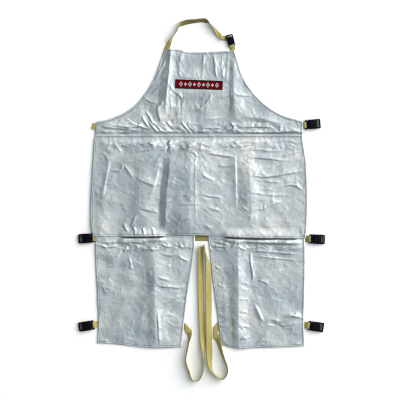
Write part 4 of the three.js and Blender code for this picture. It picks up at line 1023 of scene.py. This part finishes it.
def band(name, node, worn=None, step=2.2 * MM):
    """Webbing along the stations of its solid, smoothed between them. At shares of its width, its faces
    are hollowed by shares of its thickness, which leaves the selvedges proud."""
    rings = rings_of(node)
    if np.linalg.norm(rings[0, 0] - rings[0, 1]) < np.linalg.norm(rings[0, 1] - rings[0, 2]):
        rings = np.roll(rings, 1, 1)
    middle = rings.mean(1)
    walked = np.concatenate([[0], np.cumsum(np.linalg.norm(np.diff(middle, axis=0), axis=1))])
    slope = np.diff(rings, axis=0) / np.diff(walked)[:, None, None]
    before, after = slope[:-1], slope[1:]
    same = before * after > 0
    span = np.gradient(rings, walked, axis=0)
    span[1:-1, :, 2] = np.where(same, 2 * before * after / np.where(same, before + after, 1), 0)[..., 2]
    places = np.unique(np.concatenate([np.arange(0, walked[-1], step), walked]))
    index = np.clip(np.searchsorted(walked, places, "right") - 1, 0, len(walked) - 2)
    gap = (walked[index + 1] - walked[index])[:, None, None]
    t = ((places - walked[index])[:, None, None]) / gap
    even = ((1 + 2 * t) * (1 - t) ** 2 * rings[index] + t * (1 - t) ** 2 * gap * span[index]
            + t * t * (3 - 2 * t) * rings[index + 1] - t * t * (1 - t) * gap * span[index + 1])
    width = np.linalg.norm(rings[0, 0] - rings[0, 1])
    a, b, c, d = (even[:, k] for k in range(4))
    face, back = [], []
    for share, hollow in zip(band_shares, band_hollow):
        over, under = a + (b - a) * share, d + (c - d) * share
        face.append(over + (under - over) * hollow)
        back.append(under + (over - under) * hollow)
    points = face + back[::-1]
    across = [share * width for share in band_shares + band_shares[::-1]]
    section = len(points)
    points = np.stack(points, 1)
    faces, uvs = [], []
    for i in range(len(places) - 1):
        for k in range(section):
            j = (k + 1) % section
            faces.append((i * section + k, (i + 1) * section + k, (i + 1) * section + j, i * section + j))
            here, ahead = places[i], places[i + 1]
            uvs += [(across[k], here), (across[k], ahead), (across[j], ahead), (across[j], here)]
    total = len(places) * section
    for end in (range(section), range(total - 1, total - section - 1, -1)):
        faces.append(tuple(end))
        uvs += [(across[k % section], 0) for k in end]
    strap = make_object(name, points.reshape(-1, 3), faces, [webbing])
    layer = strap.data.uv_layers.new(name="band")
    layer.data.foreach_set("uv", np.array(uvs, float).ravel())
    face_outwards(strap)
    # Painted shade, where a function gives it.
    shade_layer = strap.data.attributes.new("worn", "FLOAT", "POINT")
    if worn:
        shade_layer.data.foreach_set("value", np.clip([worn(Vector(v.co)) for v in strap.data.vertices], 0, 1))
    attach(strap, "root")
    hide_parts(node)
    return strap


def neck_shade(point):
    """Painted shade: the band is darkened all round the neck, and darkest on its edge at the top of the
    loop.
    """
    x, y, z = point / MM
    top = max(0.0, min(1.0, (x + 62) / 12, (36 - x) / 12)) if y > 330 else 0.0
    return 0.35 + 0.55 * top


band("neck_band", "neck_strap", neck_shade)
band("waist_band", "waist_strap")
for side in ("left", "right"):
    band(f"leg_band_{side}", f"leg_strap_{side}")


# The short loops that hold the buckles, and the hip strap with a loop at each end. Each is one length of
# the same webbing, bent round the bar of its buckle and sewn to itself. The weave follows its heading.
bib_corner_top = 279.5 * MM
tail_tuck = 6.5 * MM
headings = {
    "neck_loop": 106,
    "waist_loop": 5,
    "leg_loop_left": 189,
    "leg_loop_right": -8,
    "hip_strap": 0,
}


def rounded(name, node, width, segments, material):
    """A solid with its edges rounded."""
    made = solid_mesh(node)
    bmesh.ops.dissolve_limit(made, angle_limit=math.radians(1), verts=made.verts, edges=made.edges)
    mesh = bpy.data.meshes.new(name)
    made.to_mesh(mesh)
    made.free()
    mesh.materials.append(material)
    piece = bpy.data.objects.new(name, mesh)
    bpy.context.scene.collection.objects.link(piece)
    bevel = piece.modifiers.new("edges", "BEVEL")
    bevel.width = width
    bevel.segments = segments
    bevel.limit_method = "ANGLE"
    bevel.angle_limit = math.radians(28)
    bevel.harden_normals = False
    graph = bpy.context.evaluated_depsgraph_get()
    finished = bpy.data.meshes.new_from_object(piece.evaluated_get(graph))
    piece.modifiers.clear()
    piece.data = finished
    finished.polygons.foreach_set("use_smooth", [True] * len(finished.polygons))
    finished.set_sharp_from_angle(angle=math.radians(35))
    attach(piece, "root")
    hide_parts(node)
    return piece


for node, heading in headings.items():
    name = node.replace("strap", "band").replace("loop", "loop_band")
    loop = rounded(name, node, 0.3 * MM, 2, webbing)
    if node == "neck_loop":
        # Its tail lies hidden under the bib's corner.
        for vertex in loop.data.vertices:
            tuck = (bib_corner_top - vertex.co.y) / (4 * MM)
            vertex.co.x -= tail_tuck * min(max(tuck, 0), 1)
    c, s = math.cos(math.radians(heading)), math.sin(math.radians(heading))
    layer = loop.data.uv_layers.new(name="band")
    uvs = []
    for corner in loop.data.loops:
        p = loop.data.vertices[corner.vertex_index].co
        uvs += [-p.x * s + p.y * c, p.x * c + p.y * s + p.z]
    layer.data.foreach_set("uv", uvs)
    # Painted shade: the hip strap is darkened, the other loops are not.
    shade_layer = loop.data.attributes.new("worn", "FLOAT", "POINT")
    shade_layer.data.foreach_set("value", [0.4 if node == "hip_strap" else 0.0] * len(loop.data.vertices))


# The side-release buckles: near-black acetal, half matt from the mould, with softly rounded edges. The
# female half takes the male half's two arms and guide. Its tail has a slot for a strap, with a thin ladder
# bar across it, and at the neck the strap fills the slot.
plastic, place, shader = new_material("black_acetal", specular_ior_level=0.06)
grain = place.noise(1500.0, 2.0)
scuff = place.noise(90.0, 4.0, 0.65)
black = scuff.between(0.35, 0.75).blend((0.0012, 0.0012, 0.003), (0.004, 0.004, 0.007))
feed(plastic, shader, base_color=black)
feed(plastic, shader, roughness=0.36 + 0.2 * scuff)
feed(plastic, shader, normal=bump(grain, 0.05 * MM, 0.5))

buckles = ["neck_buckle", "waist_buckle"]
buckles += [f"{place}_buckle_{side}" for place in ("hip", "leg") for side in ("left", "right")]
slot_from_tip = 0.22
slot_half = 0.345
bar_upper = [(0.04, 0.012), (0.028, 0.035), (-0.028, 0.035), (-0.04, 0.012)]
bar_section = [*bar_upper, (-0.028, -0.03), (0.028, -0.03)]


def ladder_bar(name, socket, plug):
    """The thin bar across the slot in a socket's tail. Its sizes are shares of the socket's width."""
    shell, insert = (np.array([v.co for v in piece.data.vertices]) for piece in (socket, plug))
    along = (shell.mean(0) - insert.mean(0)) * [1, 1, 0]
    along /= np.linalg.norm(along)
    aside = np.array([-along[1], along[0], 0])
    width = np.ptp(shell @ aside)
    tip = shell[shell @ along > (shell @ along).max() - 0.05 * width].mean(0)
    middle = tip - along * slot_from_tip * width
    ring = [middle + width * (u * along + [0, 0, z]) for u, z in bar_section]
    points = [p + side * slot_half * width * aside for side in (-1, 1) for p in ring]
    faces = ladder(0, 6, 2) + [(5, 4, 3, 2, 1, 0), (6, 7, 8, 9, 10, 11)]
    bar = make_object(name, points, faces, [plastic], smooth=False)
    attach(bar, "root")


for node in buckles:
    socket = rounded(f"{node}_socket", f"{node}_female", 0.7 * MM, 3, plastic)
    plug = rounded(f"{node}_plug", f"{node}_male", 0.45 * MM, 2, plastic)
    if node != "neck_buckle":
        ladder_bar(f"{node}_bar", socket, plug)

bpy.context.view_layer.update()
